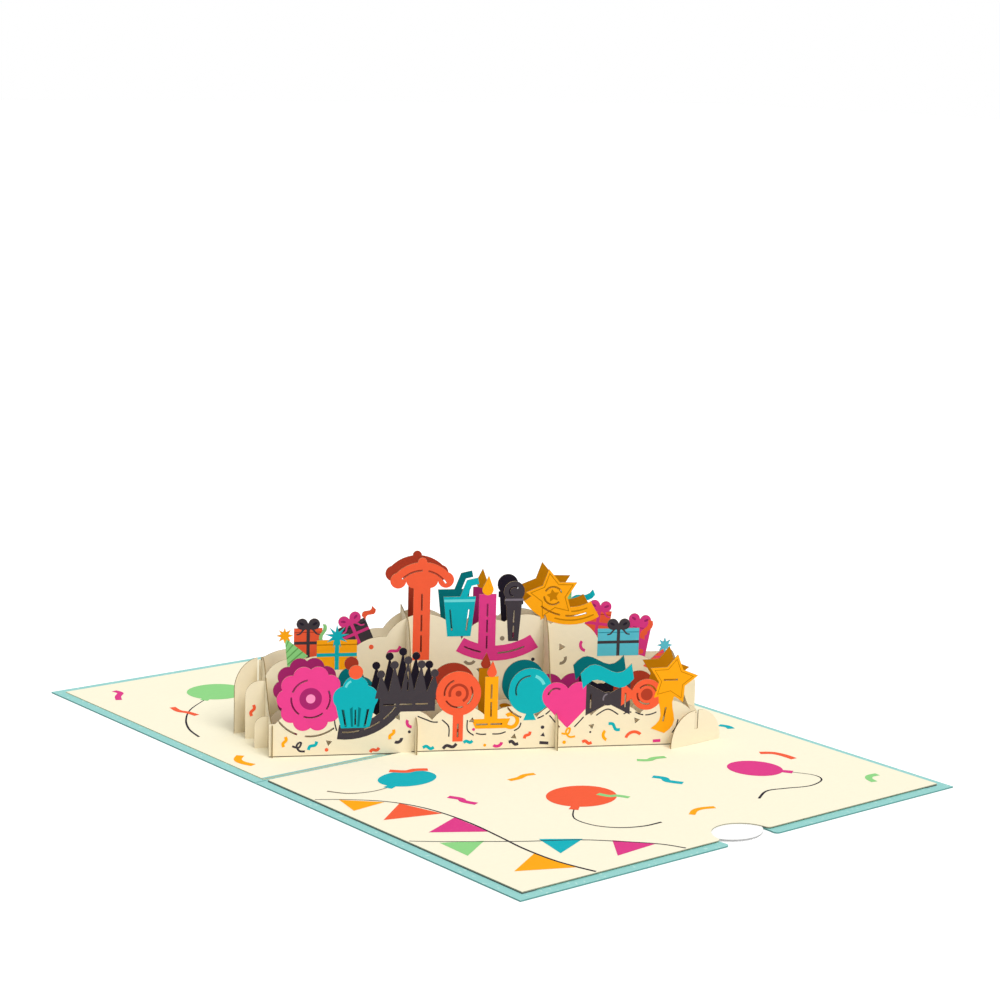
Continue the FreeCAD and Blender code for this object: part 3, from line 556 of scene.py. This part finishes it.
def toned(shapes, ink, twin=False):
    """Shapes with their tones turned to ink and tone pairs; a twin is printed dark all over."""
    made = []
    for tone, points in shapes:
        pair = tone
        if not isinstance(tone, tuple):
            shade = "dark" if twin else OWN_TONES.get(tone, "bright")
            pair = (ink if tone in OWN_TONES else tone, shade)
        made.append((pair, points))
    return made


def row_prints(row, base, twin):
    """Print of a row of motifs that stand on a base, or of their dark twins."""
    made = []
    for motif, x, foot, ink in row:
        made += toned(motif(x, base + foot), ink, twin)
    return made


def low_row(base, twin):
    """Print of the lower row, with the crown's ribbon behind it and a streamer over it."""
    ribbons = toned([("own", band(23.8, base + 16.0, 19.4, 4.8, 262, 333))], "charcoal", twin)
    streamer = toned([("own", wave(100.6, base + 11.6, 117.6, base + 14.6, 5.2, 2.2))], "teal", twin)
    return ribbons + row_prints(LOW_ROW, base, twin) + streamer


# Small confetti: kind, ink, place, length or radius, and a turn in degrees. The two lines
# are drawn about their middle, for a length of one.

STROKE = 1.0
CURL_STROKE = 0.65
SQUIGGLE = [(-0.52, -0.1), (-0.22, 0.09), (0.22, -0.09), (0.52, 0.1)]
LOOP = [(-0.6, 0.22), (-0.06, -0.16), (0.34, 0.19), (0.16, 0.34),
        (-0.19, 0.06), (-0.09, -0.5), (0.41, -0.75)]


def spread(local, x, z, reach, turn):
    """Points given about a piece of confetti's middle, scaled, turned and put in place."""
    cos, sin = math.cos(math.radians(turn)), math.sin(math.radians(turn))
    return [(x + reach * (a * cos - b * sin), z + reach * (a * sin + b * cos)) for a, b in local]


def confetti(pieces):
    """Fields for a table of confetti; a curl takes two strokes, so that none crosses itself."""
    made = []
    for kind, ink, x, z, reach, turn in pieces:
        if kind == "dot":
            strokes = [disc(x, z, reach)]
        elif kind == "dash":
            ends = polar(x, z, reach / 2, turn + 180) + polar(x, z, reach / 2, turn)
            strokes = [bar(*ends, STROKE)]
        elif kind == "wave":
            strokes = [ribbon(spread(SQUIGGLE, x, z, reach, turn), STROKE)]
        elif kind == "arc":
            radius = reach * 0.55
            middle = polar(x, z, radius, turn + 180)
            strokes = [band(*middle, radius, STROKE, turn - 60, turn + 60)]
        elif kind == "curl":
            halves = [spread(half, x, z, reach, turn) for half in (LOOP[:4], LOOP[3:])]
            strokes = [ribbon(half, CURL_STROKE) for half in halves]
        else:
            strokes = [[polar(x, z, reach * 0.6, turn + 120 * i) for i in range(3)]]
        made += [((ink, "bright"), points) for points in strokes]
    return made


FRONT_CONFETTI = [
    ("wave", "yellow", 4, 5, 3.2, 70), ("curl", "charcoal", 8.5, 3.5, 3.2, 20),
    ("wave", "teal", 13, 3.5, 3.6, 35), ("dot", "orange", 17.5, 2, 0.6, 0),
    ("wave", "orange", 33, 1.5, 3.0, 15), ("wave", "yellow", 38.5, 6.5, 3.2, 60),
    ("arc", "charcoal", 41, 4.0, 2.6, 300), ("arc", "magenta", 43.6, 9.6, 2.8, 210),
    ("dot", "charcoal", 44.2, 7.2, 0.5, 0), ("wave", "teal", 50.5, 1.8, 3.4, 350),
    ("wave", "charcoal", 57.5, 2, 4.4, 8), ("wave", "teal", 63.5, 3.3, 2.8, 0),
    ("dot", "magenta", 65.2, 7.4, 0.5, 0), ("dot", "yellow", 69, 2, 0.5, 0),
    ("arc", "magenta", 73.5, 1.6, 3.0, 288), ("wave", "charcoal", 78.5, 2.5, 3.0, 340),
    ("wave", "orange", 83, 5, 2.8, 40), ("dot", "charcoal", 88, 7.5, 0.6, 0),
    ("triangle", "charcoal", 88.2, 4.9, 1.5, 200), ("dash", "charcoal", 88.6, 2.2, 3.0, 355),
    ("curl", "yellow", 96.5, 5.6, 3.4, 30), ("dot", "yellow", 95.4, 2.2, 0.6, 0),
    ("wave", "orange", 103.0, 2, 3.0, 345), ("arc", "yellow", 108.4, 4.0, 3.2, 190),
    ("wave", "teal", 112, 7, 4.2, 320), ("arc", "orange", 118.2, 5.0, 5.2, 102),
    ("dash", "magenta", 126.5, 1.8, 2.6, 2), ("dot", "charcoal", 104.0, 5.4, 0.35, 0),
]
THIRD_CONFETTI = [
    ("dot", "yellow", 3.5, 15.0, 0.9, 0), ("wave", "orange", -4.2, 9.5, 3.6, 70),
    ("dot", "orange", 34.5, 30.0, 0.8, 0), ("wave", "magenta", 42, 28.5, 5.0, 25),
    ("dot", "brown", 78.2, 32.0, 0.8, 0), ("arc", "brown", 67.4, 23.6, 3.4, 270),
    ("arc", "magenta", 105, 28.5, 3.6, 200), ("arc", "brown", 99.5, 23.6, 3.0, 320),
    ("dot", "charcoal", 88.8, 24.6, 0.6, 0), ("wave", "green", 18.0, 14.0, 4.0, 35),
    ("wave", "teal", 117.5, 16.0, 4.0, 330), ("dot", "magenta", 127.2, 14.2, 0.7, 0),
    ("wave", "yellow", 61.0, 12.0, 4.0, 20), ("dot", "teal", 48.0, 14.0, 0.7, 0),
]
SECOND_CONFETTI = [
    ("wave", "magenta", 8, 4, 3.4, 30), ("dot", "teal", 22, 6, 0.7, 0),
    ("wave", "yellow", 37, 5, 3.4, 340), ("wave", "orange", 62, 4, 3.4, 20),
    ("dot", "charcoal", 77, 6, 0.7, 0), ("wave", "teal", 99, 5, 3.4, 330),
    ("wave", "magenta", 116, 4, 3.4, 15), ("dot", "yellow", 128, 6, 0.7, 0),
]
BACK_CONFETTI = [
    ("wave", "teal", 8, 14, 4.0, 30), ("dot", "magenta", 24, 20, 0.8, 0),
    ("wave", "orange", 38, 13, 4.0, 340), ("wave", "yellow", 60, 17, 4.0, 20),
    ("dot", "teal", 78, 20, 0.8, 0), ("wave", "magenta", 98, 14, 4.0, 330),
    ("dot", "orange", 113, 19, 0.8, 0), ("wave", "green", 126, 13, 4.0, 15),
]


def extra_gifts_third():
    """Nearer presents and party hats."""
    made = toned(party_hat(10.4, 25.6, 7.6, 9.2, "yellow", "deep", tilt=28), "green")
    made += toned(burst_gift(23.2, 22.6, 13.2, 10.0, "teal"), "yellow")
    made += toned(gift(117.8, 25.2, 14.2, 9.4, "charcoal"), "sky")
    return made + toned(party_hat(130.4, 19.8, 8.2, 8.8, "sky", "magenta", tilt=-24), "orange")


def extra_gifts_back():
    """Further presents, loose streamers, a striped candle and a spotted present."""
    made = toned(gift(15.0, 24.0, 9.4, 10.0, "charcoal"), "orange")
    made += toned(gift(32.2, 28.4, 9.8, 7.6, "magenta", tilt=23), "charcoal")
    made += toned([("orange", wave(33.4, 37.2, 36.8, 40.6, 1.8, 0.7, steps=6)),
                   ("green", wave(19.4, 29.5, 20.4, 35.2, 1.2, 0.5, steps=6)),
                   ("teal", wave(103.6, 41.0, 111.6, 44.6, 2.0, 0.8, steps=6)),
                   ("green", block(100.2, 36.0, 103.8, 46.0))], "teal")
    for level in (37.4, 40.2, 43.0):
        stripe = [(100.2, level), (103.8, level + 1.0), (103.8, level + 1.8), (100.2, level + 0.8)]
        made += toned([("deep", stripe)], "green")
    made += toned(gift(112.4, 29.0, 8.6, 9.4, "magenta", tilt=-8), "orange")
    x, z, tilt = 125.6, 21.5, -10
    made += toned(gift(x, z, 8.8, 12.0, "magenta", tilt), "magenta")
    dots = [("orange", disc(x + dx, z + dz, 0.9)) for dx in (-2.6, 2.6) for dz in (2.6, 9.2)]
    made += toned(turned(dots, x, z, tilt), "orange")
    return made + toned([("orange", wave(129.0, 28.0, 131.6, 34.4, 1.8, 0.7, steps=6))], "orange")


# Slits through the printed sheets, as the CAD frame has them: dashes that take this share of
# their step, each with a band of painted shade of this width round it

DASH = 0.78
SLIT_SHADE = 0.05


def arc_dashes(x, z, radius, start, end, count):
    step = (end - start) / count
    return [band(x, z, radius, SLIT, start + step * i, start + step * (i + DASH)) for i in range(count)]


def line_dashes(x0, z0, x1, z1, count):
    cuts = []
    for i in range(count):
        start, end = [(x0 + (x1 - x0) * share, z0 + (z1 - z0) * share)
                      for share in (i / count, (i + DASH) / count)]
        cuts.append(bar(*start, *end, SLIT))
    return cuts


def triangle_cut(x, z, side, first):
    return [[polar(x, z, side / math.sqrt(3), first + 120 * i) for i in range(3)]]


def low_cuts(b):
    return sum([
        arc_dashes(12.2, b + 8, 6.2, 100, 400, 4), arc_dashes(12.2, b + 8, 12.4, 205, 320, 2),
        line_dashes(23.4, b - 1, 22.2, b + 5.4, 1), line_dashes(26.6, b - 1, 26.6, b + 5.4, 1),
        line_dashes(29.8, b - 1, 31.0, b + 5.4, 1),
        line_dashes(35.6, b + 5.4, 51.2, b + 5.4, 3), line_dashes(43.4, b + 10, 43.4, b + 17, 2),
        arc_dashes(23.8, b + 16, 19.4, 266, 329, 3),
        arc_dashes(60, b + 8.5, 4.6, 110, 410, 3), line_dashes(60, b - 6, 60, b - 0.4, 1),
        line_dashes(70.8, b + 0.6, 70.8, b + 12.6, 2), line_dashes(66.0, b - 2, 75.6, b - 2, 2),
        arc_dashes(83.6, b + 9, 4.8, 90, 230, 1), arc_dashes(83.6, b + 8.6, 9.0, 215, 262, 1),
        arc_dashes(92.2, b + 6.8, 2.6, 60, 200, 1),
        line_dashes(103.8, b + 2.4, 103.8, b + 8.6, 1), line_dashes(115.4, b + 2.4, 115.4, b + 8.6, 1),
        arc_dashes(122.6, b + 6.6, 3.2, 20, 320, 2),
        line_dashes(128.2, b + 11.4, 134.2, b + 11.4, 1),
        line_dashes(128.4, b - 2.6, 129.4, b + 3.4, 1),
        triangle_cut(18.2, b - 6.6, 1.8, 20), triangle_cut(40.4, b + 1.2, 1.8, 60),
        triangle_cut(64.6, b - 0.6, 1.7, 80), triangle_cut(78.6, b - 6.4, 1.7, 200),
        triangle_cut(104.4, b - 3.6, 1.7, 40), triangle_cut(119.4, b - 2.0, 1.8, 10),
    ], [])


def high_cuts(b):
    return sum([
        line_dashes(51.0, b + 9, 51.0, b + 30, 3), arc_dashes(51.0, b + 27, 9.4, 32, 148, 2),
        line_dashes(61.2, b + 16, 60.2, b + 25, 1), line_dashes(66.0, b + 16, 67.0, b + 25, 1),
        line_dashes(73, b + 9.6, 73, b + 26, 3), arc_dashes(76, b + 32, 24, 244, 262, 1),
        arc_dashes(76, b + 32, 24, 272, 300, 1), line_dashes(81.9, b + 13, 81.9, b + 23.6, 2),
        arc_dashes(81.9, b + 28.8, 1.6, 40, 320, 1), arc_dashes(95, b + 27.2, 3.0, 20, 350, 2),
        arc_dashes(101.2, b + 36.6, 16.4, 232, 296, 2), triangle_cut(14.6, b - 5.4, 2.0, 200),
        triangle_cut(98.4, b + 9.6, 2.2, 0), triangle_cut(70.8, b + 2.4, 1.8, 40),
    ], [])


def slit_shade(holes):
    """Dark band round each slit and window: painted shade, so that it looks shadowed."""
    return [(("charcoal", "dark"), grown(hole, SLIT_SHADE)) for hole in holes]


# Painted shade: dark lines on the front slat that follow the motifs' lower edges, in place of shadowed
# slits

FRONT_SHADE_LINES = [
    [(19.9, 12.6), (20.1, 10.4), (20.7, 8.2)], [(46.8, 12.3), (49.4, 11.2), (51.6, 10.3), (53.4, 10.2)],
    [(54.8, 10.9), (57.0, 8.6), (57.1, 5.2)], [(63.1, 10.6), (63.2, 7.2), (65.3, 5.4)],
    [(66.0, 6.1), (67.6, 5.7), (69.4, 5.7)], [(71.4, 5.7), (73.8, 5.7), (75.8, 6.3)],
    [(78.6, 6.6), (80.2, 7.6), (80.8, 9.2)], [(90.2, 11.4), (92.0, 9.3), (93.7, 7.3)],
    [(98.6, 7.3), (100.4, 9.2), (101.6, 10.6)], [(105.8, 11.0), (109.6, 13.0), (113.2, 11.1)],
    [(115.0, 11.2), (116.4, 11.9), (117.6, 11.7)], [(131.6, 4.4), (132.9, 6.4), (133.5, 8.9)],
]

# The round ones: middle, radius, start and end in degrees

ROUND_SHADE_LINES = [
    (83.6, 8.6, 9.4, 286, 300), (83.6, 8.6, 9.4, 304, 316),
    (122.6, 6.6, 6.9, 238, 262), (122.6, 6.6, 6.9, 268, 300),
]
SHADE_LINE_WIDTH = 0.4  # width


def painted_shade_lines():
    """Broken lines of painted shade below the motifs; the round ones follow the balloon and the sweet.
    """
    lines = [ribbon(points, SHADE_LINE_WIDTH) for points in FRONT_SHADE_LINES]
    lines += [band(x, FRONT + z, radius, SHADE_LINE_WIDTH, start, end)
              for x, z, radius, start, end in ROUND_SHADE_LINES]
    return [(("charcoal", "dark"), line) for line in lines]


# Slots for the cross slats

MIDDLE_CROSSINGS = [FRONT + 1.0, SECOND + 4.5, THIRD + 16.0, BACK + 13.0]
END_CROSSINGS = [FRONT - 0.5, SECOND, THIRD, BACK - 0.5]


def slots(row):
    """Slots from below for the four cross slats."""
    heights = [END_CROSSINGS[row], MIDDLE_CROSSINGS[row], MIDDLE_CROSSINGS[row], END_CROSSINGS[row]]
    return [block(BAY * j - SLOT / 2, -1, BAY * j + SLOT / 2, h / 2) for j, h in enumerate(heights)]


# Colour fields: one mesh a sheet, split where outlines cross, the last outline on top

INSIDE_OUTLINES = 1
SAME_POINT = 1e-5


def on_slat(row):
    """Placing of a point along and up a long slat, a hair in front of it."""
    foot = CORNER + ACROSS * (GAP * row) - ACROSS * (SHEET / 2 + LIFT)

    def place(x, z):
        point = foot + ALONG * x
        return Vector((point.x, point.y, LEFT_TOP + z)) * MM
    return place


def on_liner(level):
    """Placing of a point on a liner's top, a hair above it."""
    def place(x, y):
        return Vector((x, y, level + LIFT)) * MM
    return place


def printed(name, layers, holes, place):
    """One sheet's print: layers of ink pair and outline, less its holes, put in place."""
    points, faces, inks = [], [], []
    for ink, outline in layers + [(None, hole) for hole in holes]:
        faces.append(list(range(len(points), len(points) + len(outline))))
        points += [Vector(p) for p in wound(outline)]
        inks.append(ink)
    corners, _, triangles, _, _, owners = delaunay_2d_cdt(
        points, [], faces, INSIDE_OUTLINES, SAME_POINT)
    mesh = bpy.data.meshes.new(name)
    used = sorted({ink for ink in inks if ink})
    for ink in used:
        mesh.materials.append(INK_MATERIALS[ink])
    sheet = bmesh.new()
    grid = [sheet.verts.new(place(*corner)) for corner in corners]
    for triangle, owner in zip(triangles, owners):
        ink = inks[max(owner)] if owner else None
        if ink:
            face = sheet.faces.new([grid[i] for i in triangle])
            face.material_index = used.index(ink)
    loose = [corner for corner in sheet.verts if not corner.link_faces]
    bmesh.ops.delete(sheet, geom=loose, context="VERTS")
    sheet.to_mesh(mesh)
    sheet.free()
    piece = bpy.data.objects.new(name, mesh)
    bpy.context.scene.collection.objects.link(piece)
    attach(piece, "card")


# Painted shade: a dark contact-shadow line along the front slat's foot, which lies higher where the
# slat stands on the right liner

STEP_AT = 45.0
foot_shadow_fields = [block(-0.9, 0.06, STEP_AT, 0.34), block(STEP_AT, 0.41, SPAN + 0.2, 0.69)]
painted_foot_shadow = [(("brown", "dark"), field) for field in foot_shadow_fields]

# The fifth slit of the front slat runs out over the sheet's edge, so its painted shade starts further
# in

front_cuts, third_cuts = low_cuts(FRONT), high_cuts(UPPER)
fifth = band(12.2, FRONT + 8, 12.4, SLIT, 218, 249.8)
front_slit_shade = slit_shade(front_cuts[:4] + [fifth] + front_cuts[5:])

front_layers = painted_foot_shadow + painted_shade_lines() + confetti(FRONT_CONFETTI) + low_row(FRONT, False) + front_slit_shade
second_layers = confetti(SECOND_CONFETTI) + low_row(FRONT, True)
third_layers = (confetti(THIRD_CONFETTI) + extra_gifts_third() + row_prints(HIGH_ROW, UPPER, False)
                + slit_shade(third_cuts))
back_layers = confetti(BACK_CONFETTI) + extra_gifts_back() + row_prints(HIGH_ROW, UPPER, True)

printed("front_slat_print", front_layers, slots(0) + front_cuts, on_slat(0))
printed("second_slat_print", second_layers, slots(1), on_slat(1))
printed("third_slat_print", third_layers, slots(2) + third_cuts, on_slat(2))
printed("back_slat_print", back_layers, slots(3), on_slat(3))


# Print of the liners: balloons on strings, bunting and loose streamers

def liner_balloon(ink, x, y, wide, high, tilt, knot, string_ink, string):
    """Balloon with a flared neck at its knot and a string that widens towards its end."""
    kx, ky = knot
    length = math.hypot(kx - x, ky - y)
    ux, uy = (kx - x) / length, (ky - y) / length
    neck = [(kx + ux * far - uy * side, ky + uy * far + ux * side)
            for far, side in ((-3.5, 1.2), (-3.5, -1.2), (1.0, -1.5), (1.0, 1.5))]
    return [((string_ink, "dark"), ribbon([knot] + string, 0.4, 0.85)), ((ink, "bright"), neck),
            ((ink, "bright"), oval(x, y, wide, high, tilt))]


def streaks(rows):
    """Loose streamers: ink, width and the points that each bends through."""
    return [((ink, "bright"), ribbon(list(points), width)) for ink, width, *points in rows]


def pennants(rows):
    """Flags of the bunting: ink and three corners."""
    return [((ink, "bright"), list(points)) for ink, *points in rows]


left_print = liner_balloon("green", -94.5, -42, 10, 10.5, 0, (-88, -51), "charcoal",
                           [(-80, -62), (-70, -70), (-60, -75), (-51, -77)])
left_print += streaks([
    ("orange", 2.2, (-86, -65.3), (-81, -66), (-77.5, -64.4), (-73, -63.8)),
    ("magenta", 2.2, (-115, -71), (-111.5, -70.6), (-108, -73.6), (-104, -75.6)),
    ("yellow", 2.6, (-26, -77.4), (-23, -80.4), (-19.5, -81.2), (-15, -79.8)),
])

# Narrow teal strip along the spine

left_print.append((("mist", "bright"), block(-2.25, -85.25, -1.3, 85.25)))

right_print = liner_balloon("teal", 24.5, -49, 7.5, 10, 0, (28.5, -59), "brown",
                            [(29, -66), (26.5, -73), (21, -77)])
right_print += liner_balloon("orange", 69, -16, 10, 11.5, 0, (77, -26), "charcoal",
                             [(84, -32), (92, -31.6), (98, -27), (101.2, -20), (101.5, -13)])
right_print += liner_balloon("magenta", 79, 49, 9, 8, 30, (88, 55.5), "charcoal",
                             [(95, 59.5), (100, 57.5), (102, 50), (99.5, 42), (98, 35), (102, 27.5)])
right_print += streaks([
    ("orange", 2.6, (20.8, -38), (18.8, -41.6), (18.6, -45), (15, -48.8)),
    ("magenta", 2.4, (46.4, -50), (50, -48.2), (52.6, -48.8), (56.6, -47.2)),
    ("yellow", 2.1, (43.4, -13), (42.8, -16.6), (44, -20), (44, -24)),
    ("green", 2.1, (70.2, -10.4), (73.8, -9), (75, -6.6), (78.4, -4.8)),
    ("yellow", 2.0, (100.4, 10.2), (99, 6.4), (99.2, 3), (101.6, -0.6)),
    ("teal", 2.6, (66.8, 15.8), (70, 17.6), (73, 16.6), (77.2, 19)),
    ("green", 2.4, (50.8, 23.8), (53, 26.8), (52.4, 30), (53.6, 33.8)),
    ("orange", 2.6, (67.8, 62.6), (70.2, 66), (74, 67.2), (78.8, 67.2)),
    ("teal", 2.6, (36.8, 74.6), (39.6, 75.8), (42.2, 75)),
    ("green", 2.3, (106, 77), (105.8, 73.6), (107.6, 71.2), (110.8, 70.2)),
])
right_print += pennants([
    ("yellow", (30, -79), (39.5, -69), (41, -81.5)), ("orange", (43, -66), (58, -61.5), (53, -79.5)),
    ("magenta", (63, -60.8), (79, -60.6), (69.5, -75.5)),
    ("yellow", (101, -61.8), (117, -60.2), (109.5, -76.5)),
    ("green", (84.6, -67), (92, -79), (78.6, -78.6)),
    ("teal", (99.6, -42.4), (105.5, -56), (92.4, -53)),
    ("magenta", (105.5, -36.2), (115, -27.6), (116.4, -44)),
])

# Strings of the bunting, thicker towards their last point

long_string = [(25.6, -84.8), (31, -77), (38, -69.4), (46, -64.4), (56, -61.4), (70, -60.2),
               (84, -61), (96, -62), (108, -61.6), (116, -60), (122.8, -58)]
short_string = [(72.4, -84.8), (78, -77.6), (86, -66), (92, -57), (100, -43.4), (108, -34.6),
                (116, -27), (122.8, -23.4)]
for string, last in ((long_string, 0.95), (short_string, 0.7)):
    right_print.append((("charcoal", "dark"), ribbon(string, 0.45, last)))

HALF_FOOT = 6.15


def slit_round(anchor):
    """Slit in a liner round the foot of an anchor."""
    return block(anchor.x - SLOT / 2, anchor.y - HALF_FOOT, anchor.x + SLOT / 2, anchor.y + HALF_FOOT)


left_slit = slit_round(CORNER - ALONG * LAP + ACROSS * DEPTH)
right_slit = slit_round(CORNER + ALONG * (SPAN + LAP))
printed("left_liner_print", left_print, [left_slit], on_liner(LEFT_TOP))
printed("right_liner_print", right_print, [right_slit], on_liner(RIGHT_TOP))


# Floor, light and camera: sizes in metres, the camera's place in millimetres

WHITE = (1.0, 1.0, 1.0, 1.0)
FLOOR_HALF = 6.0
FLOOR_DROP = 0.0001
FLOOR_GREY = (0.9, 0.9, 0.9, 1.0)
FLOOR_GLOW = 0.3
DOME_RIM, DOME_TOP = 0.28, 0.8
SUN_POWER, SUN_SPREAD = 1.86, math.radians(34)
SUN_WAY = Vector((-0.64, 0.067, -0.766))
EYE = Vector((599.53, -493.3, 228.36))
YAW, PITCH, ROLL = math.radians(140.22), math.radians(10.79), math.radians(-1.57)
FOCAL, FILM = 87.52, 36.0


def plain_object(name, data):
    made = bpy.data.objects.new(name, data)
    bpy.context.scene.collection.objects.link(made)
    return made


def to_the_camera(tree):
    """One for rays from the camera and for what shiny or clear things show, and nothing else."""
    path = tree.nodes.new("ShaderNodeLightPath")
    total = path.outputs["Is Camera Ray"]
    for kind in ("Is Glossy Ray", "Is Transmission Ray"):
        node = tree.nodes.new("ShaderNodeMath")
        node.operation = "MAXIMUM"
        tree.links.new(total, node.inputs[0])
        tree.links.new(path.outputs[kind], node.inputs[1])
        total = node.outputs[0]
    return total


def blend(tree, factor, low, high):
    """From low, a number or a socket, to high as the factor goes from nothing to one."""
    node = tree.nodes.new("ShaderNodeMapRange")
    if isinstance(low, float):
        node.inputs["To Min"].default_value = low
    else:
        tree.links.new(low, node.inputs["To Min"])
    node.inputs["To Max"].default_value = high
    tree.links.new(factor, node.inputs["Value"])
    return node.outputs["Result"]


floor_mesh = bpy.data.meshes.new("floor")
floor_form = bmesh.new()
bmesh.ops.create_grid(floor_form, x_segments=1, y_segments=1, size=FLOOR_HALF)
floor_form.to_mesh(floor_mesh)
floor_form.free()
floor = plain_object("floor", floor_mesh)
floor.location.z = -FLOOR_DROP
floor_look = bpy.data.materials.new("floor_white")
floor_look.use_nodes = True
floor_tree = floor_look.node_tree
floor_shader = floor_tree.nodes["Principled BSDF"]
floor_shader.inputs["Base Color"].default_value = FLOOR_GREY
floor_shader.inputs["Roughness"].default_value = 1.0
floor_shader.inputs["Specular IOR Level"].default_value = 0.0
floor_shader.inputs["Emission Color"].default_value = WHITE
glow = blend(floor_tree, to_the_camera(floor_tree), 0.0, FLOOR_GLOW)
floor_tree.links.new(glow, floor_shader.inputs["Emission Strength"])
floor_mesh.materials.append(floor_look)

world = bpy.data.worlds.new("studio")
bpy.context.scene.world = world
world.use_nodes = True
sky = world.node_tree
background = sky.nodes["Background"]
background.inputs["Color"].default_value = WHITE
heading = sky.nodes.new("ShaderNodeSeparateXYZ")
sky.links.new(sky.nodes.new("ShaderNodeTexCoord").outputs["Generated"], heading.inputs[0])
dome = blend(sky, heading.outputs["Z"], DOME_RIM, DOME_TOP)
sky.links.new(blend(sky, to_the_camera(sky), dome, 1.0), background.inputs["Strength"])

sun = bpy.data.lights.new("key", "SUN")
sun.energy = SUN_POWER
sun.angle = SUN_SPREAD
key = plain_object("key", sun)
key.rotation_euler = SUN_WAY.to_track_quat("-Z", "Y").to_euler()

ahead = Vector((math.cos(YAW) * math.cos(PITCH), math.sin(YAW) * math.cos(PITCH), -math.sin(PITCH)))
level = Vector((math.sin(YAW), -math.cos(YAW), 0))
down = ahead.cross(level)
right = level * math.cos(ROLL) + down * math.sin(ROLL)
below = -level * math.sin(ROLL) + down * math.cos(ROLL)
lens = bpy.data.cameras.new("camera")
lens.sensor_width = FILM
lens.lens = FOCAL
lens.clip_start, lens.clip_end = 0.01, 20.0
camera = plain_object("camera", lens)
turn = Matrix((right, -below, -ahead)).transposed()
camera.matrix_world = Matrix.Translation(EYE * MM) @ turn.to_4x4()
bpy.context.scene.camera = camera
bpy.context.scene.view_settings.view_transform = "Standard"
